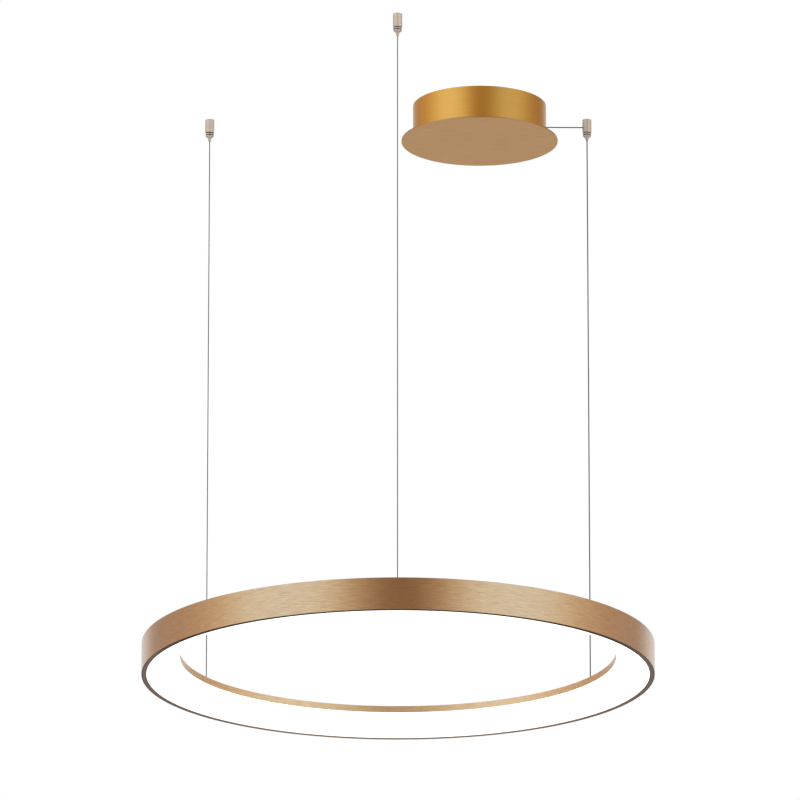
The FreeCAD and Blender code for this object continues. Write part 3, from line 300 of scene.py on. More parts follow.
def mesh_object(name, vertices, faces, uv=None, slots=None):
    """A mesh object from arrays: vertices (n, 3), faces as rows of indices, one UV for each corner."""
    mesh = bpy.data.meshes.new(name)
    mesh.from_pydata(np.asarray(vertices).tolist(), [], [list(face) for face in faces])
    if uv is not None:
        layer = mesh.uv_layers.new(name="UVMap")
        layer.data.foreach_set("uv", np.asarray(uv, np.float32).ravel())
    if slots is not None:
        mesh.polygons.foreach_set("material_index", np.asarray(slots, np.int32))
    return linked(name, mesh)


def smooth(thing, angle=35.0):
    """Smooth shading that keeps edges sharper than angle, with flat faces ruling their normals."""
    thing.data.shade_smooth()
    thing.data.set_sharp_from_angle(angle=math.radians(angle))
    modifier = thing.modifiers.new("Even normals", "WEIGHTED_NORMAL")
    modifier.keep_sharp = True
    modifier.weight = 80
    return thing


def reworked(mesh, distance, change):
    """Merges the mesh's doubled points, and then makes the change to it."""
    work = bmesh.new()
    work.from_mesh(mesh)
    bmesh.ops.remove_doubles(work, verts=work.verts, dist=distance)
    change(work)
    work.to_mesh(mesh)
    work.free()


def face_outwards(work):
    """Turns the faces of a closed surface outwards."""
    bmesh.ops.recalc_face_normals(work, faces=work.faces)


def turned(name, outline, steps, start=0.0, sweep=FULL_TURN, centre=(0.0, 0.0), slots=0):
    """A solid turned about a vertical axis from a closed outline of (radius, height) points.

    Point (j, i) is outline point i at angle start + sweep * j / steps. U is the arc's length at the
    outline's greatest radius and V the length along the outline, both in metres. A part turn gets a
    flat face at each end. slots gives the material slot of each stretch of the outline.
    """
    whole = abs(sweep - FULL_TURN) < 1e-9
    columns = steps if whole else steps + 1
    angles = start + sweep * np.arange(columns) / steps
    radii, heights = outline.T
    size = len(radii)
    faces, j, i = grid(columns, size, (whole, True), flip=True)
    along = length_along(np.concatenate([outline, outline[:1]]))
    uv = np.stack([sweep * radii.max() / steps * j, along[i]], axis=-1).reshape(-1, 2)
    faces = faces.reshape(-1, 4).tolist()
    chosen = np.broadcast_to(slots, (steps, size)).ravel().tolist()
    if not whole:
        faces += [list(range(size)), list(range(steps * size, columns * size))[::-1]]
        uv = np.concatenate([uv, outline, outline[::-1]])
        chosen += [0, 0]
    thing = mesh_object(name, about(centre, radii, angles[:, None], heights), faces, uv, chosen)
    reworked(thing.data, 1e-7, face_outwards)
    return thing


def length_along(line):
    """Length of the line up to each of its points."""
    return np.concatenate([[0], np.cumsum(np.linalg.norm(np.diff(line, axis=0), axis=1))])


def across_path(path, away=(0.0, 1.0, 0.0)):
    """Two arrays of unit vectors, square to the path and to each other. The path never runs along away."""
    along = np.gradient(path, axis=0)
    along /= np.linalg.norm(along, axis=1, keepdims=True)
    side = np.cross(along, away)
    side /= np.linalg.norm(side, axis=1, keepdims=True)
    return side, np.cross(along, side)


def tube(path, radius, sides, away=(0.0, 1.0, 0.0)):
    """A round tube whose point (i, j) is the path's point i plus the radius in direction j.

    Returns vertices, faces and UVs, with U along the tube and V round it, in metres, and closed ends.
    """
    side, up = across_path(path, away)
    angles = FULL_TURN * np.arange(sides)[:, None] / sides
    ring = np.cos(angles) * side[:, None] + np.sin(angles) * up[:, None]
    vertices = (path[:, None] + radius * ring).reshape(-1, 3)
    faces, i, j = grid(len(path), sides, (False, True))
    uv = np.stack([length_along(path)[i], FULL_TURN * radius / sides * j], axis=-1).reshape(-1, 2)
    ends = [list(range(sides))[::-1], list(range(len(vertices) - sides, len(vertices)))]
    return vertices, faces.reshape(-1, 4).tolist() + ends, np.concatenate([uv, np.zeros((2 * sides, 2))])


def joined(name, parts):
    """One mesh object of several (vertices, faces, UVs) parts."""
    starts = np.cumsum([0] + [len(part[0]) for part in parts])
    vertices = np.concatenate([part[0] for part in parts])
    faces = [[index + start for index in face] for part, start in zip(parts, starts) for face in part[1]]
    return mesh_object(name, vertices, faces, np.concatenate([part[2] for part in parts]))


def route_curve(name, points):
    """A smooth open curve that has the points of a route as its control points."""
    curve = bpy.data.curves.new(name, "CURVE")
    curve.dimensions = "3D"
    curve.resolution_u = 16
    spline = curve.splines.new("NURBS")
    spline.points.add(len(points) - 1)
    for point, spot in zip(spline.points, points):
        point.co = (*spot, 1.0)
    spline.order_u = 3
    spline.use_endpoint_u = True
    return linked(name, curve)


def route_line(points):
    """The points of the smooth line that a route's curve makes."""
    guide = route_curve("route_guide", points)
    bpy.context.view_layer.update()
    mesh = bpy.data.meshes.new_from_object(guide)
    line = np.empty(len(mesh.vertices) * 3)
    mesh.vertices.foreach_get("co", line)
    bpy.data.meshes.remove(mesh)
    bpy.data.objects.remove(guide)
    return line.reshape(-1, 3)


def evenly(line, count):
    """The line's points spread out again at equal steps."""
    along = length_along(line)
    marks = np.linspace(0, along[-1], count)
    return np.stack([np.interp(marks, along, line[:, axis]) for axis in range(3)], axis=-1)


def soft_edges(thing, width, angle):
    """Rounds the edges that are sharper than the angle, in degrees."""
    bevel = thing.modifiers.new("Soft edges", "BEVEL")
    bevel.width = width
    bevel.segments = 2
    bevel.limit_method = "ANGLE"
    bevel.angle_limit = math.radians(angle)


def make_whole(work):
    """Dissolves the edges and points that lie within flat faces."""
    limit = math.radians(0.5)
    bmesh.ops.dissolve_limit(work, angle_limit=limit, verts=work.verts, edges=work.edges)


def softened(node, width):
    """A copy of a node's mesh with its doubles merged, its flat faces whole and its edges rounded."""
    mesh = frame["nodes"][node].data.copy()
    mesh.name = node + "_soft"
    reworked(mesh, 1e-6, make_whole)
    thing = linked(mesh.name, mesh)
    soft_edges(thing, width, angle=32)
    return smooth(thing)


# ---------------------------------------------------------------- finishes


def place(tree, kind, inputs=None, **settings):
    """A node in the tree. An input that is a socket is linked, and any other is set."""
    node = tree.nodes.new("ShaderNode" + kind)
    for name, value in settings.items():
        setattr(node, name, value)
    for name, value in (inputs or {}).items():
        if isinstance(value, bpy.types.NodeSocket):
            tree.links.new(value, node.inputs[name])
        else:
            node.inputs[name].default_value = value
    return node


def figure(tree, operation, first, second=0.0, third=0.0):
    """The result of a Math node."""
    return place(tree, "Math", {0: first, 1: second, 2: third}, operation=operation).outputs[0]


def spread(tree, value, low, high, to_low=0.0, to_high=1.0):
    """A value brought from one range to another, and held inside it."""
    inputs = {"Value": value, "From Min": low, "From Max": high, "To Min": to_low, "To Max": to_high}
    return place(tree, "MapRange", inputs).outputs["Result"]


def blended(tree, share, first, second):
    """A colour between the first and the second. A plain colour has three numbers."""
    ends = [end if isinstance(end, bpy.types.NodeSocket) else (*end, 1.0) for end in (first, second)]
    return place(tree, "Mix", {0: share, 6: ends[0], 7: ends[1]}, data_type="RGBA").outputs[2]


def noise(tree, vector, scale, detail, rough=0.5):
    """Values of a noise texture."""
    inputs = {"Vector": vector, "Scale": scale, "Detail": detail, "Roughness": rough}
    return place(tree, "TexNoise", inputs).outputs["Fac"]


def new_group(name, inputs, outputs):
    """An empty shader group that takes a vector and numbers, and gives numbers.

    Returns the tree, what it is given and what it gives out.
    """
    tree = bpy.data.node_groups.new(name, "ShaderNodeTree")
    tree.interface.new_socket("Vector", in_out="INPUT", socket_type="NodeSocketVector")
    for label, default in inputs.items():
        socket = tree.interface.new_socket(label, in_out="INPUT", socket_type="NodeSocketFloat")
        socket.default_value = default
    for label in outputs:
        tree.interface.new_socket(label, in_out="OUTPUT", socket_type="NodeSocketFloat")
    return tree, tree.nodes.new("NodeGroupInput").outputs, tree.nodes.new("NodeGroupOutput").inputs


def brush_group():
    """Brushed streaks: noise that is stretched along X of its vector and squeezed across it."""
    tree, given, out = new_group("Brush streaks", {"Length": 0.02, "Width": 0.001}, ["Streaks", "Hairlines"])
    spot = place(tree, "SeparateXYZ", {0: given["Vector"]}).outputs
    scales = {"Streaks": (1.0, 1.0, 2.0, 0.36, 0.64), "Hairlines": (4.0, 0.2, 3.0, 0.34, 0.66)}
    for name, (longer, finer, detail, low, high) in scales.items():
        along = figure(tree, "DIVIDE", spot[0], figure(tree, "MULTIPLY", given["Length"], longer))
        across = figure(tree, "DIVIDE", spot[1], figure(tree, "MULTIPLY", given["Width"], finer))
        vector = place(tree, "CombineXYZ", {0: along, 1: across, 2: spot[2]}).outputs[0]
        tree.links.new(spread(tree, noise(tree, vector, 1.0, detail, 0.6), low, high), out[name])
    return tree


def marks_group():
    """Soft uneven patches, as hands and polishing leave them."""
    tree, given, out = new_group("Soft marks", {"Size": 0.05}, ["Marks"])
    patches = noise(tree, given["Vector"], figure(tree, "DIVIDE", 1.0, given["Size"]), 3.0)
    tree.links.new(spread(tree, patches, 0.3, 0.7), out["Marks"])
    return tree


def grain_group():
    """Fine even grain, as on moulded plastic and blasted metal, and cells as in foam."""
    tree, given, out = new_group("Fine grain", {"Size": 0.0004}, ["Grain", "Specks"])
    scale = figure(tree, "DIVIDE", 1.0, given["Size"])
    cells = place(tree, "TexVoronoi", {"Vector": given["Vector"], "Scale": scale})
    tree.links.new(noise(tree, given["Vector"], scale, 4.0, 0.7), out["Grain"])
    tree.links.new(cells.outputs["Distance"], out["Specks"])
    return tree


def shared_group(maker):
    """The node group that a maker builds, built once."""
    key = "chandelier_" + maker.__name__
    if key not in bpy.data.node_groups:
        maker().name = key
    return bpy.data.node_groups[key]


def use_group(tree, maker, **inputs):
    """Places a shared group in the tree and gives its outputs."""
    return place(tree, "Group", inputs, node_tree=shared_group(maker)).outputs


def new_finish(name, **sockets):
    """An empty material. Gives the material, its tree and its Principled BSDF with the sockets set."""
    material = bpy.data.materials.new(name)
    material.use_nodes = True
    tree = material.node_tree
    shader = tree.nodes["Principled BSDF"]
    for label, value in sockets.items():
        shader.inputs[label.replace("_", " ")].default_value = value
    return material, tree, shader


def where(tree):
    """Object coordinates, in metres."""
    return place(tree, "TexCoord").outputs["Object"]


def surface_uv(tree):
    """The piece's own UV map, in metres."""
    return place(tree, "UVMap", uv_map="UVMap").outputs["UV"]


def marks_of(tree, size):
    """Soft patches of about the size."""
    return use_group(tree, marks_group, Vector=where(tree), Size=size)["Marks"]


def grain_of(tree, size):
    """Fine grain of about the size, and cells of it."""
    return use_group(tree, grain_group, Vector=where(tree), Size=size)


def feed(tree, shader, shade, roughness, height, depth, strength=1.0):
    """Feeds the shader a colour, a roughness or None, and a normal from a height times depth, in metres."""
    bump = place(tree, "Bump", {"Height": height, "Distance": depth, "Strength": strength})
    tree.links.new(shade, shader.inputs["Base Color"])
    tree.links.new(bump.outputs["Normal"], shader.inputs["Normal"])
    if roughness is not None:
        tree.links.new(roughness, shader.inputs["Roughness"])


def shaded(base, share):
    """The colour times the share."""
    return tuple(share * part for part in base)


def brushed(
    name, base, scratch, vector_from, streak=(0.022, 0.0009), rough=(0.26, 0.36), tangent=True, coat=1.0
):
    """Brushed metal under a clear anodised layer. Streaks run along X or U of the vector."""
    material, tree, shader = new_finish(name, Metallic=1.0, Coat_Weight=coat, Coat_Roughness=0.30)
    brush = use_group(tree, brush_group, Vector=vector_from(tree), Length=streak[0], Width=streak[1])
    height = figure(tree, "MULTIPLY", brush["Streaks"], 0.52)
    height = figure(tree, "MULTIPLY_ADD", brush["Hairlines"], 0.48, height)
    worn = figure(tree, "MULTIPLY_ADD", marks_of(tree, 0.06), 0.3, height)
    worn = spread(tree, worn, 0.1, 1.1, rough[1], rough[0])
    shade = blended(tree, spread(tree, height, 0.15, 0.75), scratch, base)
    feed(tree, shader, shade, worn, height, depth=0.00005, strength=0.6)
    if tangent:
        shader.inputs["Anisotropic"].default_value = 0.5
        shader.inputs["Anisotropic Rotation"].default_value = 0.25
        direction = place(tree, "Tangent", direction_type="UV_MAP", uv_map="UVMap")
        tree.links.new(direction.outputs[0], shader.inputs["Tangent"])
    return material


def plain_metal(name, base, rough, grain=0.0005):
    """Satin or bright metal with a fine grain and soft marks."""
    material, tree, shader = new_finish(name, Metallic=1.0)
    fine = grain_of(tree, grain)["Grain"]
    shade = blended(tree, spread(tree, fine, 0.35, 0.65), shaded(base, 0.82), base)
    worn = spread(tree, marks_of(tree, 0.012), 0.0, 1.0, rough - 0.05, rough + 0.07)
    feed(tree, shader, shade, worn, fine, depth=0.00001, strength=0.5)
    return material


def turned_metal(name, base, rough, metallic):
    """Lathe-turned metal: fine rings round a vertical axis, and faint soft marks."""
    material, tree, shader = new_finish(name, Metallic=metallic)
    spot = place(tree, "SeparateXYZ", {0: where(tree)}).outputs
    rings = place(tree, "CombineXYZ", {0: spot[0], 1: spot[2], 2: spot[1]}).outputs[0]
    brush = use_group(tree, brush_group, Vector=rings, Length=0.03, Width=0.0004)
    worn = figure(tree, "MULTIPLY_ADD", marks_of(tree, 0.02), 0.35, brush["Hairlines"])
    worn = spread(tree, worn, 0.0, 1.35, rough - 0.05, rough + 0.07)
    shade = blended(tree, brush["Streaks"], shaded(base, 0.86), base)
    feed(tree, shader, shade, worn, brush["Hairlines"], depth=0.00002, strength=0.5)
    return material


def moulded(name, base, rough=0.45, grain=0.0006, transmission=0.0):
    """Moulded plastic or rubber with a fine grain."""
    material, tree, shader = new_finish(name, Metallic=0.0, Transmission_Weight=transmission)
    fine = grain_of(tree, grain)["Grain"]
    share = spread(tree, marks_of(tree, 0.02), 0.0, 1.0, 0.0, 0.35)
    worn = spread(tree, fine, 0.3, 0.7, rough - 0.06, rough + 0.08)
    feed(tree, shader, blended(tree, share, base, shaded(base, 0.8)), worn, fine, depth=0.00004, strength=0.5)
    return material


def foam(name, base):
    """Open-celled foam, whose cells are darkened in their hollow middles: painted shade in the pores."""
    material, tree, shader = new_finish(name, Roughness=0.95)
    cells = grain_of(tree, 0.0008)["Specks"]
    # Painted shade: the colour falls to 0.45 of itself in the middle of each cell, its hollow.
    shade = blended(tree, spread(tree, cells, 0.0, 0.6), shaded(base, 0.45), base)
    feed(tree, shader, shade, None, cells, depth=0.0003)
    return material


def from_axis(tree, radius):
    """Distance from a cylinder about the ring's axis, in metres."""
    spot = place(tree, "SeparateXYZ", {0: where(tree)}).outputs
    flat = place(tree, "CombineXYZ", {0: spot[0], 1: spot[1]}).outputs[0]
    reach = place(tree, "VectorMath", {0: flat}, operation="LENGTH").outputs["Value"]
    return figure(tree, "ABSOLUTE", figure(tree, "SUBTRACT", reach, radius))


def opal(name, glow):
    """Lit opal plastic, whose light is turned down at the bend beside its flat strip: painted shade that
    draws the bend's faint grey line.
    """
    material, tree, shader = new_finish(name, Roughness=0.42, Emission_Strength=0.95)
    sizes = bpy.context.scene.chandelier_profile
    bend = RING_RADIUS - sizes.foot_width - sizes.cover_gap - sizes.cover_strip
    # Painted shade: the glow drops to 0.8 of itself along the bend.
    share = spread(tree, from_axis(tree, bend), 0.0, 0.0016)
    tree.links.new(blended(tree, share, shaded(glow, 0.80), glow), shader.inputs["Emission Color"])
    fine = grain_of(tree, 0.0005)["Grain"]
    feed(tree, shader, blended(tree, fine, (0.86,) * 3, (0.9,) * 3), None, fine, depth=0.00001, strength=0.4)
    return material


def cut_rim(name, base, edge):
    """The sawn foot of the profile, with painted shade darkening both its edges, for their rounding and the
    gap beside the cover.
    """
    material, tree, shader = new_finish(name, Metallic=0.8)
    foot = bpy.context.scene.chandelier_profile.foot_width
    brush = use_group(tree, brush_group, Vector=surface_uv(tree), Length=0.012, Width=0.0005)
    flat = blended(tree, brush["Streaks"], shaded(base, 0.7), base)
    # Painted shade: towards both edges of the foot the colour turns to the dark edge colour.
    share = spread(tree, from_axis(tree, RING_RADIUS - foot / 2), 0.20 * foot, 0.32 * foot)
    worn = spread(tree, brush["Hairlines"], 0.0, 1.0, 0.42, 0.58)
    shade = blended(tree, share, flat, edge)
    feed(tree, shader, shade, worn, brush["Hairlines"], depth=0.00003, strength=0.5)
    return material


def stranded(name, base):
    """Dark steel strands, each with the fine lines of its own wires."""
    material, tree, shader = new_finish(name, Metallic=0.6)
    brush = use_group(tree, brush_group, Vector=surface_uv(tree), Length=0.004, Width=0.00018)
    shade = blended(tree, brush["Streaks"], shaded(base, 0.55), base)
    worn = spread(tree, brush["Hairlines"], 0.0, 1.0, 0.28, 0.45)
    feed(tree, shader, shade, worn, brush["Streaks"], depth=0.00003)
    return material


def set_finish(thing, *materials):
    """Puts the materials on a new piece, whose faces keep the numbers of their slots."""
    slots = thing.data.materials
    for number, material in enumerate(materials):
        if number < len(slots):
            slots[number] = material
        else:
            slots.append(material)


def finishes():
    """The colours that a user may change."""
    return bpy.context.scene.chandelier_finishes


def node_finishes():
    """The maker of each slot's finish, and what its call has after the name: colours, then roughness."""
    shades = finishes()
    plastic = (0.80, 0.80, 0.78)
    disc = (shades.disc, shades.disc_scratch, where, (0.030, 0.0008), (0.50, 0.62), False, 0.0)
    drum = (shades.drum, shades.drum_shade, surface_uv, (0.09, 0.0012), (0.38, 0.44), False, 0.6)
    return {
        "brushed_gold": (brushed, shades.gold, shades.gold_scratch, surface_uv),
        "brushed_gold_disc": (brushed, *disc),
        "satin_gold": (brushed, *drum),
        "opal": (opal, shades.glow),
        "satin_nickel": (turned_metal, shades.nickel, 0.42, 0.45),
        "bright_nickel": (turned_metal, shades.bright, 0.22, 0.75),
        "nickel_brass": (plain_metal, (0.62, 0.56, 0.48), 0.30),
        "zinc_steel": (plain_metal, (0.55, 0.57, 0.60), 0.40, 0.003),
        "black_steel": (plain_metal, (0.045, 0.043, 0.042), 0.38),
        "spring_steel": (plain_metal, (0.50, 0.50, 0.51), 0.28),
        "ball_steel": (plain_metal, (0.70, 0.70, 0.71), 0.12),
        "wire_steel": (stranded, shades.wire),
        "cable_jacket": (moulded, shades.jacket, 0.36),
        "crimp_aluminium": (plain_metal, (0.66, 0.67, 0.68), 0.34),
        "board_white": (moulded, (0.85, 0.86, 0.86), 0.35),
        "chip_yellow": (moulded, (0.85, 0.66, 0.14), 0.30),
        "white_plastic": (moulded, plastic),
        "driver_white": (moulded, plastic, 0.40, 0.0009),
        "terminal_plastic": (moulded, (0.72, 0.72, 0.68), 0.35),
        "grey_foam": (foam, (0.16, 0.16, 0.17)),
        "clear_rubber": (moulded, (0.60, 0.60, 0.58), 0.30, 0.0006, 0.6),
        "lead_red": (moulded, (0.48, 0.03, 0.02), 0.34),
        "lead_blue": (moulded, (0.03, 0.10, 0.42), 0.34),
    }


def finish(slot):
    """The finish of a slot, made once."""
    material = bpy.data.materials.get(slot)
    if material and material.get("finished"):
        return material
    if material:
        material.name = slot + "_plain"
    maker, *rest = node_finishes()[slot]
    material = maker(slot, *rest)
    material["finished"] = True
    return material


def slot_of(node):
    """The record's material slot of a node."""
    return frame["nodes"][node].material_slots[0].material.name.removesuffix("_plain")


def body_of(node):
    """The body that a node moves with."""
    bodies = frame["record"]["behaviour"]["bodies"]
    return next(body for body, nodes in bodies.items() if node in nodes)


def stand_in(thing, node, materials=()):
    """The piece takes the node's place: its body, its slot and its finish."""
    slot = slot_of(node)
    set_finish(thing, finish(slot), *materials)
    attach(thing, body_of(node))
    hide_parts(node)


def added(thing, slot, node):
    """Gives a small piece that only the scene has its slot, its finish and the body of a node."""
    set_finish(thing, finish(slot))
    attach(thing, body_of(node))


def soften_all(nodes, width):
    """Rounded copies take the places of the nodes."""
    for node in nodes:
        stand_in(softened(node, width), node)


def round_fittings():
    """Rounded copies of the turned, bent and moulded fittings."""
    for name in PLACES:
        soften_all([f"gripper_{part}_{name}" for part in ("sleeve", "barrel", "lock_ring", "base")], 0.00015)
        soften_all([f"release_plunger_{name}", f"wire_anchor_{name}"], 0.00012)
    soften_all(["ceiling_bracket", "splice_plates", "disc_nuts", "anchor_nuts"], 0.0002)
    soften_all(["driver_case", "driver_lid", "terminal_block", "feed_terminal"], 0.0005)


def dress_all():
    """Gives the nodes that are still shown the finishes of their own slots."""
    for node, thing in frame["nodes"].items():
        if not thing.hide_render:
            material = finish(slot_of(node))
            for holder in thing.material_slots:
                holder.material = material


# ---------------------------------------------------------------- ring


def profile_outline(sizes):
    """Corners of the rolled profile, as (radius, height)."""
    outer = RING_RADIUS
    inner = outer - sizes.width
    wall = outer - sizes.band_wall
    foot_top = RING_FOOT + sizes.foot_thickness
    deck = RING_FOOT + sizes.deck_height
    under = deck - sizes.deck_thickness
    lip_foot = deck - sizes.lip_height
    lip_back = inner + sizes.lip_thickness
    rib_in = lip_back + 2 * sizes.cover_gap + 0.75 * sizes.cover_wall
    rib_out = rib_in + sizes.rib_thickness
    rib_foot = under - sizes.rib_height
    low = RING_FOOT + sizes.channel_low
    hook_in = wall - sizes.channel_depth
    hook_face = hook_in - sizes.hook_thickness

    def hook(level, way):
        """Corners of a hook on the channel's upper (1) or lower (-1) side, which turns over the plate."""
        over = level + way * sizes.hook_thickness
        tip = level - way * sizes.hook_reach
        outside = [(wall, over), (hook_face, over), (hook_face, tip)]
        return [*outside, (hook_in, tip), (hook_in, level), (wall, level)]

    return [
        (outer - sizes.foot_width, RING_FOOT),
        (outer, RING_FOOT),
        (outer, RING_TOP),
        (wall, RING_TOP),
        (wall, deck),
        (inner, deck),
        (inner, lip_foot),
        (lip_back, lip_foot),
        (lip_back, under),
        (rib_in, under),
        (rib_in, rib_foot),
        (rib_out, rib_foot),
        (rib_out, under),
        (wall, under),
        *hook(low + sizes.channel_height, 1),
        *hook(low, -1)[::-1],
        (wall, foot_top),
        (outer - sizes.foot_width, foot_top),
    ]


def make_ring():
    """The two halves of the gold profile, with a dark cut rim underneath whose edges carry painted shade, and
    a lip inside whose paler gold is painted highlight.
    """
    sizes = bpy.context.scene.chandelier_profile
    shades = finishes()
    outline = rounded(profile_outline(sizes), sizes.edge_round)
    ahead = np.roll(outline, -1, axis=0)
    edge = sizes.edge_round / 2
    inner = RING_RADIUS - sizes.width
    under = np.maximum(outline[:, 1], ahead[:, 1]) < RING_FOOT + edge
    inside = (np.maximum(outline[:, 0], ahead[:, 0]) < inner + edge) & (outline[:, 1] > RING_FOOT)
    slots = under.astype(int) + 2 * inside.astype(int)
    rim = cut_rim("cut_rim", shades.rim, shades.rim_edge)
    # Painted highlight: the lip's faces are the same metal as the band, given a paler gold.
    darker = shaded(shades.lip, 0.75)
    lip = brushed("lip_gold", shades.lip, darker, surface_uv, rough=(0.46, 0.54), tangent=False)
    for node, start in (("ring_half_front", math.pi), ("ring_half_back", 0.0)):
        piece = turned(node + "_brushed", outline, sizes.arc_steps, start, math.pi, slots=slots)
        stand_in(smooth(piece), node, [rim, lip])


def cover_outline(sizes):
    """Corners of the opal cover, as (radius, height, rounding)."""
    inside = RING_RADIUS - sizes.width + sizes.cover_gap
    wall = sizes.cover_wall
    outer = sizes.cover_corner
    inner = outer - wall
    rise = math.tan(sizes.cover_slope)
    cut = math.tan(sizes.cover_slope / 2)
    lip_foot = RING_FOOT + sizes.deck_height - sizes.lip_height
    tongue_in = RING_RADIUS - sizes.width + sizes.lip_thickness + sizes.cover_gap
    tongue_out = tongue_in + 0.75 * wall
    step_radius = RING_RADIUS - sizes.foot_width - sizes.cover_gap
    step_level = RING_FOOT + sizes.cover_inset
    play = 0.00005
    ledge = RING_FOOT + sizes.foot_thickness + play
    bend = step_radius - sizes.cover_strip
    under = bend - outer * cut
    over = bend - inner * cut
    fine = 0.0003
    return np.array(
        [
            (step_radius, step_level, fine),
            (step_radius, ledge, fine),
            (step_radius + sizes.cover_ledge, ledge, fine),
            (step_radius + sizes.cover_ledge, ledge + wall, fine),
            (step_radius - wall, ledge + wall, fine),
            (step_radius - wall, step_level + wall, fine),
            (over, step_level + wall, inner),
            (inside + wall, step_level + wall + (over - inside - wall) * rise, inner),
            (inside + wall, lip_foot - 2 * sizes.cover_gap, fine),
            (tongue_out, lip_foot - 2 * sizes.cover_gap, fine),
            (tongue_out, lip_foot + sizes.tongue, fine),
            (tongue_in, lip_foot + sizes.tongue, fine),
            (tongue_in, lip_foot - sizes.cover_gap, fine),
            (inside, lip_foot - sizes.cover_gap, fine),
            (inside, step_level + (under - inside) * rise, outer),
            (under, step_level, outer),
        ]
    )


def make_cover():
    """The opal cover: a flat strip beside the rim, then a slope that rises to the lip."""
    sizes = bpy.context.scene.chandelier_profile
    corners = cover_outline(sizes)
    outline = rounded(corners[:, :2], corners[:, 2], steps=10)
    stand_in(smooth(turned("opal_cover", outline, 2 * sizes.arc_steps)), "opal_diffuser")


# ---------------------------------------------------------------- wires


def strands(line, radius, sizes):
    """Strands wound round a core, each a helix of equal pitch about the line.

    A strand is a third of the wire thick, and its centre lies two thirds of the radius from the
    line, at an angle of 2 pi (length / lay + number / strands).
    """
    total = length_along(line)[-1]
    count = int(total / sizes.lay * sizes.steps) + 1
    core = evenly(line, count)
    side, up = across_path(core)
    along = np.linspace(0, total, count)
    thin = radius / 3
    parts = [tube(core[:: sizes.steps], thin, sizes.sides)]
    for number in range(sizes.strands):
        angle = FULL_TURN * (along / sizes.lay + number / sizes.strands)[:, None]
        path = core + 2 * thin * (np.cos(angle) * side + np.sin(angle) * up)
        parts.append(tube(path, thin, sizes.sides))
    return parts


def hang(piece, node):
    """The wire takes its node's place, and gets a mesh of its own."""
    stand_in(piece, node)
    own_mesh(piece)


def make_wires():
    """Two bare wires of twisted strands, and the jacketed one that carries the current."""
    sizes = bpy.context.scene.chandelier_wires
    nodes = {"near": "suspension_wire_near", "left": "suspension_wire_left", "right": "powered_wire_right"}
    for name, node in nodes.items():
        low, high = (corner[2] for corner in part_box(node))
        radius = radius_of(node)
        route = [(*middle(node), level) for level in (high, (low + high) / 2, low)]
        line = evenly(route_line(route), count=40)
        if name == POWERED:
            piece = mesh_object(node + "_jacket", *tube(line, radius, sides=20))
        else:
            piece = joined(node + "_strands", strands(line, radius, sizes))
        smooth(piece, angle=60)
        hang(piece, node)


CABLE_ROUTE = [
    (0.30311, 0.17500, -0.02000),
    (0.30311, 0.17500, -0.01319),
    (0.29500, 0.17186, -0.01418),
    (0.22600, 0.14515, -0.02258),
    (0.21264, 0.13998, -0.02399),
    (0.21800, 0.11800, -0.02600),
    (0.22100, 0.09000, -0.03200),
    (0.21700, 0.06100, -0.04130),
    (0.20500, 0.06100, -0.04130),
]


def make_cable():
    """The thin cable from the powered gripper through the drum's bush to the driver."""
    piece = route_curve("power_cable_jacket", CABLE_ROUTE)
    radius = radius_of("powered_wire_right")
    piece.data.bevel_depth = radius
    piece.data.bevel_resolution = 6
    piece.data.use_fill_caps = True
    stand_in(piece, "power_cable")
    line = route_line(CABLE_ROUTE)


# ---------------------------------------------------------------- grippers


THREAD_SIDES = 72
THREAD_ROWS = 8  # in one pitch
SPRING_STEPS = 28  # in one turn


def threaded(name, centre, sizes):
    """A short threaded sleeve: radius = crest - depth * |2 * frac(z / pitch - angle / turn) - 1|.

    Its first and last rings lie on its smooth bore, and the grid closes between them.
    """
    rows = int((sizes.thread_low - sizes.thread_high) / sizes.thread_pitch * THREAD_ROWS) + 1
    heights = -np.linspace(sizes.thread_low, sizes.thread_high, rows)[:, None]
    angles = FULL_TURN * np.arange(THREAD_SIDES) / THREAD_SIDES
    crest = sizes.thread / 2
    root = crest - sizes.thread_depth
    phase = heights / sizes.thread_pitch - angles / FULL_TURN
    radii = crest - sizes.thread_depth * np.abs(2 * (phase % 1.0) - 1)
    radii[[0, -1]] = root
    bore = np.full((1, THREAD_SIDES), root - sizes.thread_wall)
    radii = np.concatenate([bore, radii, bore])
    heights = np.concatenate([heights[:1], heights, heights[-1:]])
    faces = grid(rows + 2, THREAD_SIDES, (True, True))[0].reshape(-1, 4)
    return mesh_object(name, about(centre, radii, angles, heights), faces)


def make_threads():
    """The threads that show in the grooves beside the lock rings, in black steel: painted shade that keeps
    the deep grooves dark.
    """
    sizes = bpy.context.scene.chandelier_grippers
    for name in PLACES:
        node = f"gripper_barrel_{name}"
        thread = threaded(f"gripper_thread_{name}", middle(node), sizes)
        # Painted shade: black steel stands in for the shade in the thread's grooves.
        added(smooth(thread, angle=50), "black_steel", node)


def make_springs():
    """Coil springs, each a round wire along a helix."""
    sizes = bpy.context.scene.chandelier_grippers
    for name in PLACES:
        node = f"gripper_spring_{name}"
        low, high = (corner[2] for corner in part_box(node))
        half = sizes.spring_wire / 2
        radius = radius_of(node) - half
        turn = np.linspace(0, sizes.spring_turns, int(sizes.spring_turns * SPRING_STEPS) + 1)
        total = high - low
        heights = low + half + (total - 2 * half) * turn / sizes.spring_turns
        path = about(middle(node), radius, FULL_TURN * turn, heights)
        wound = tube(path, half, sides=10, away=(0.0, 0.0, 1.0))
        spring = mesh_object(f"gripper_spring_{name}_wound", *wound)
        stand_in(smooth(spring, angle=60), node)
        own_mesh(spring)


# ---------------------------------------------------------------- canopy


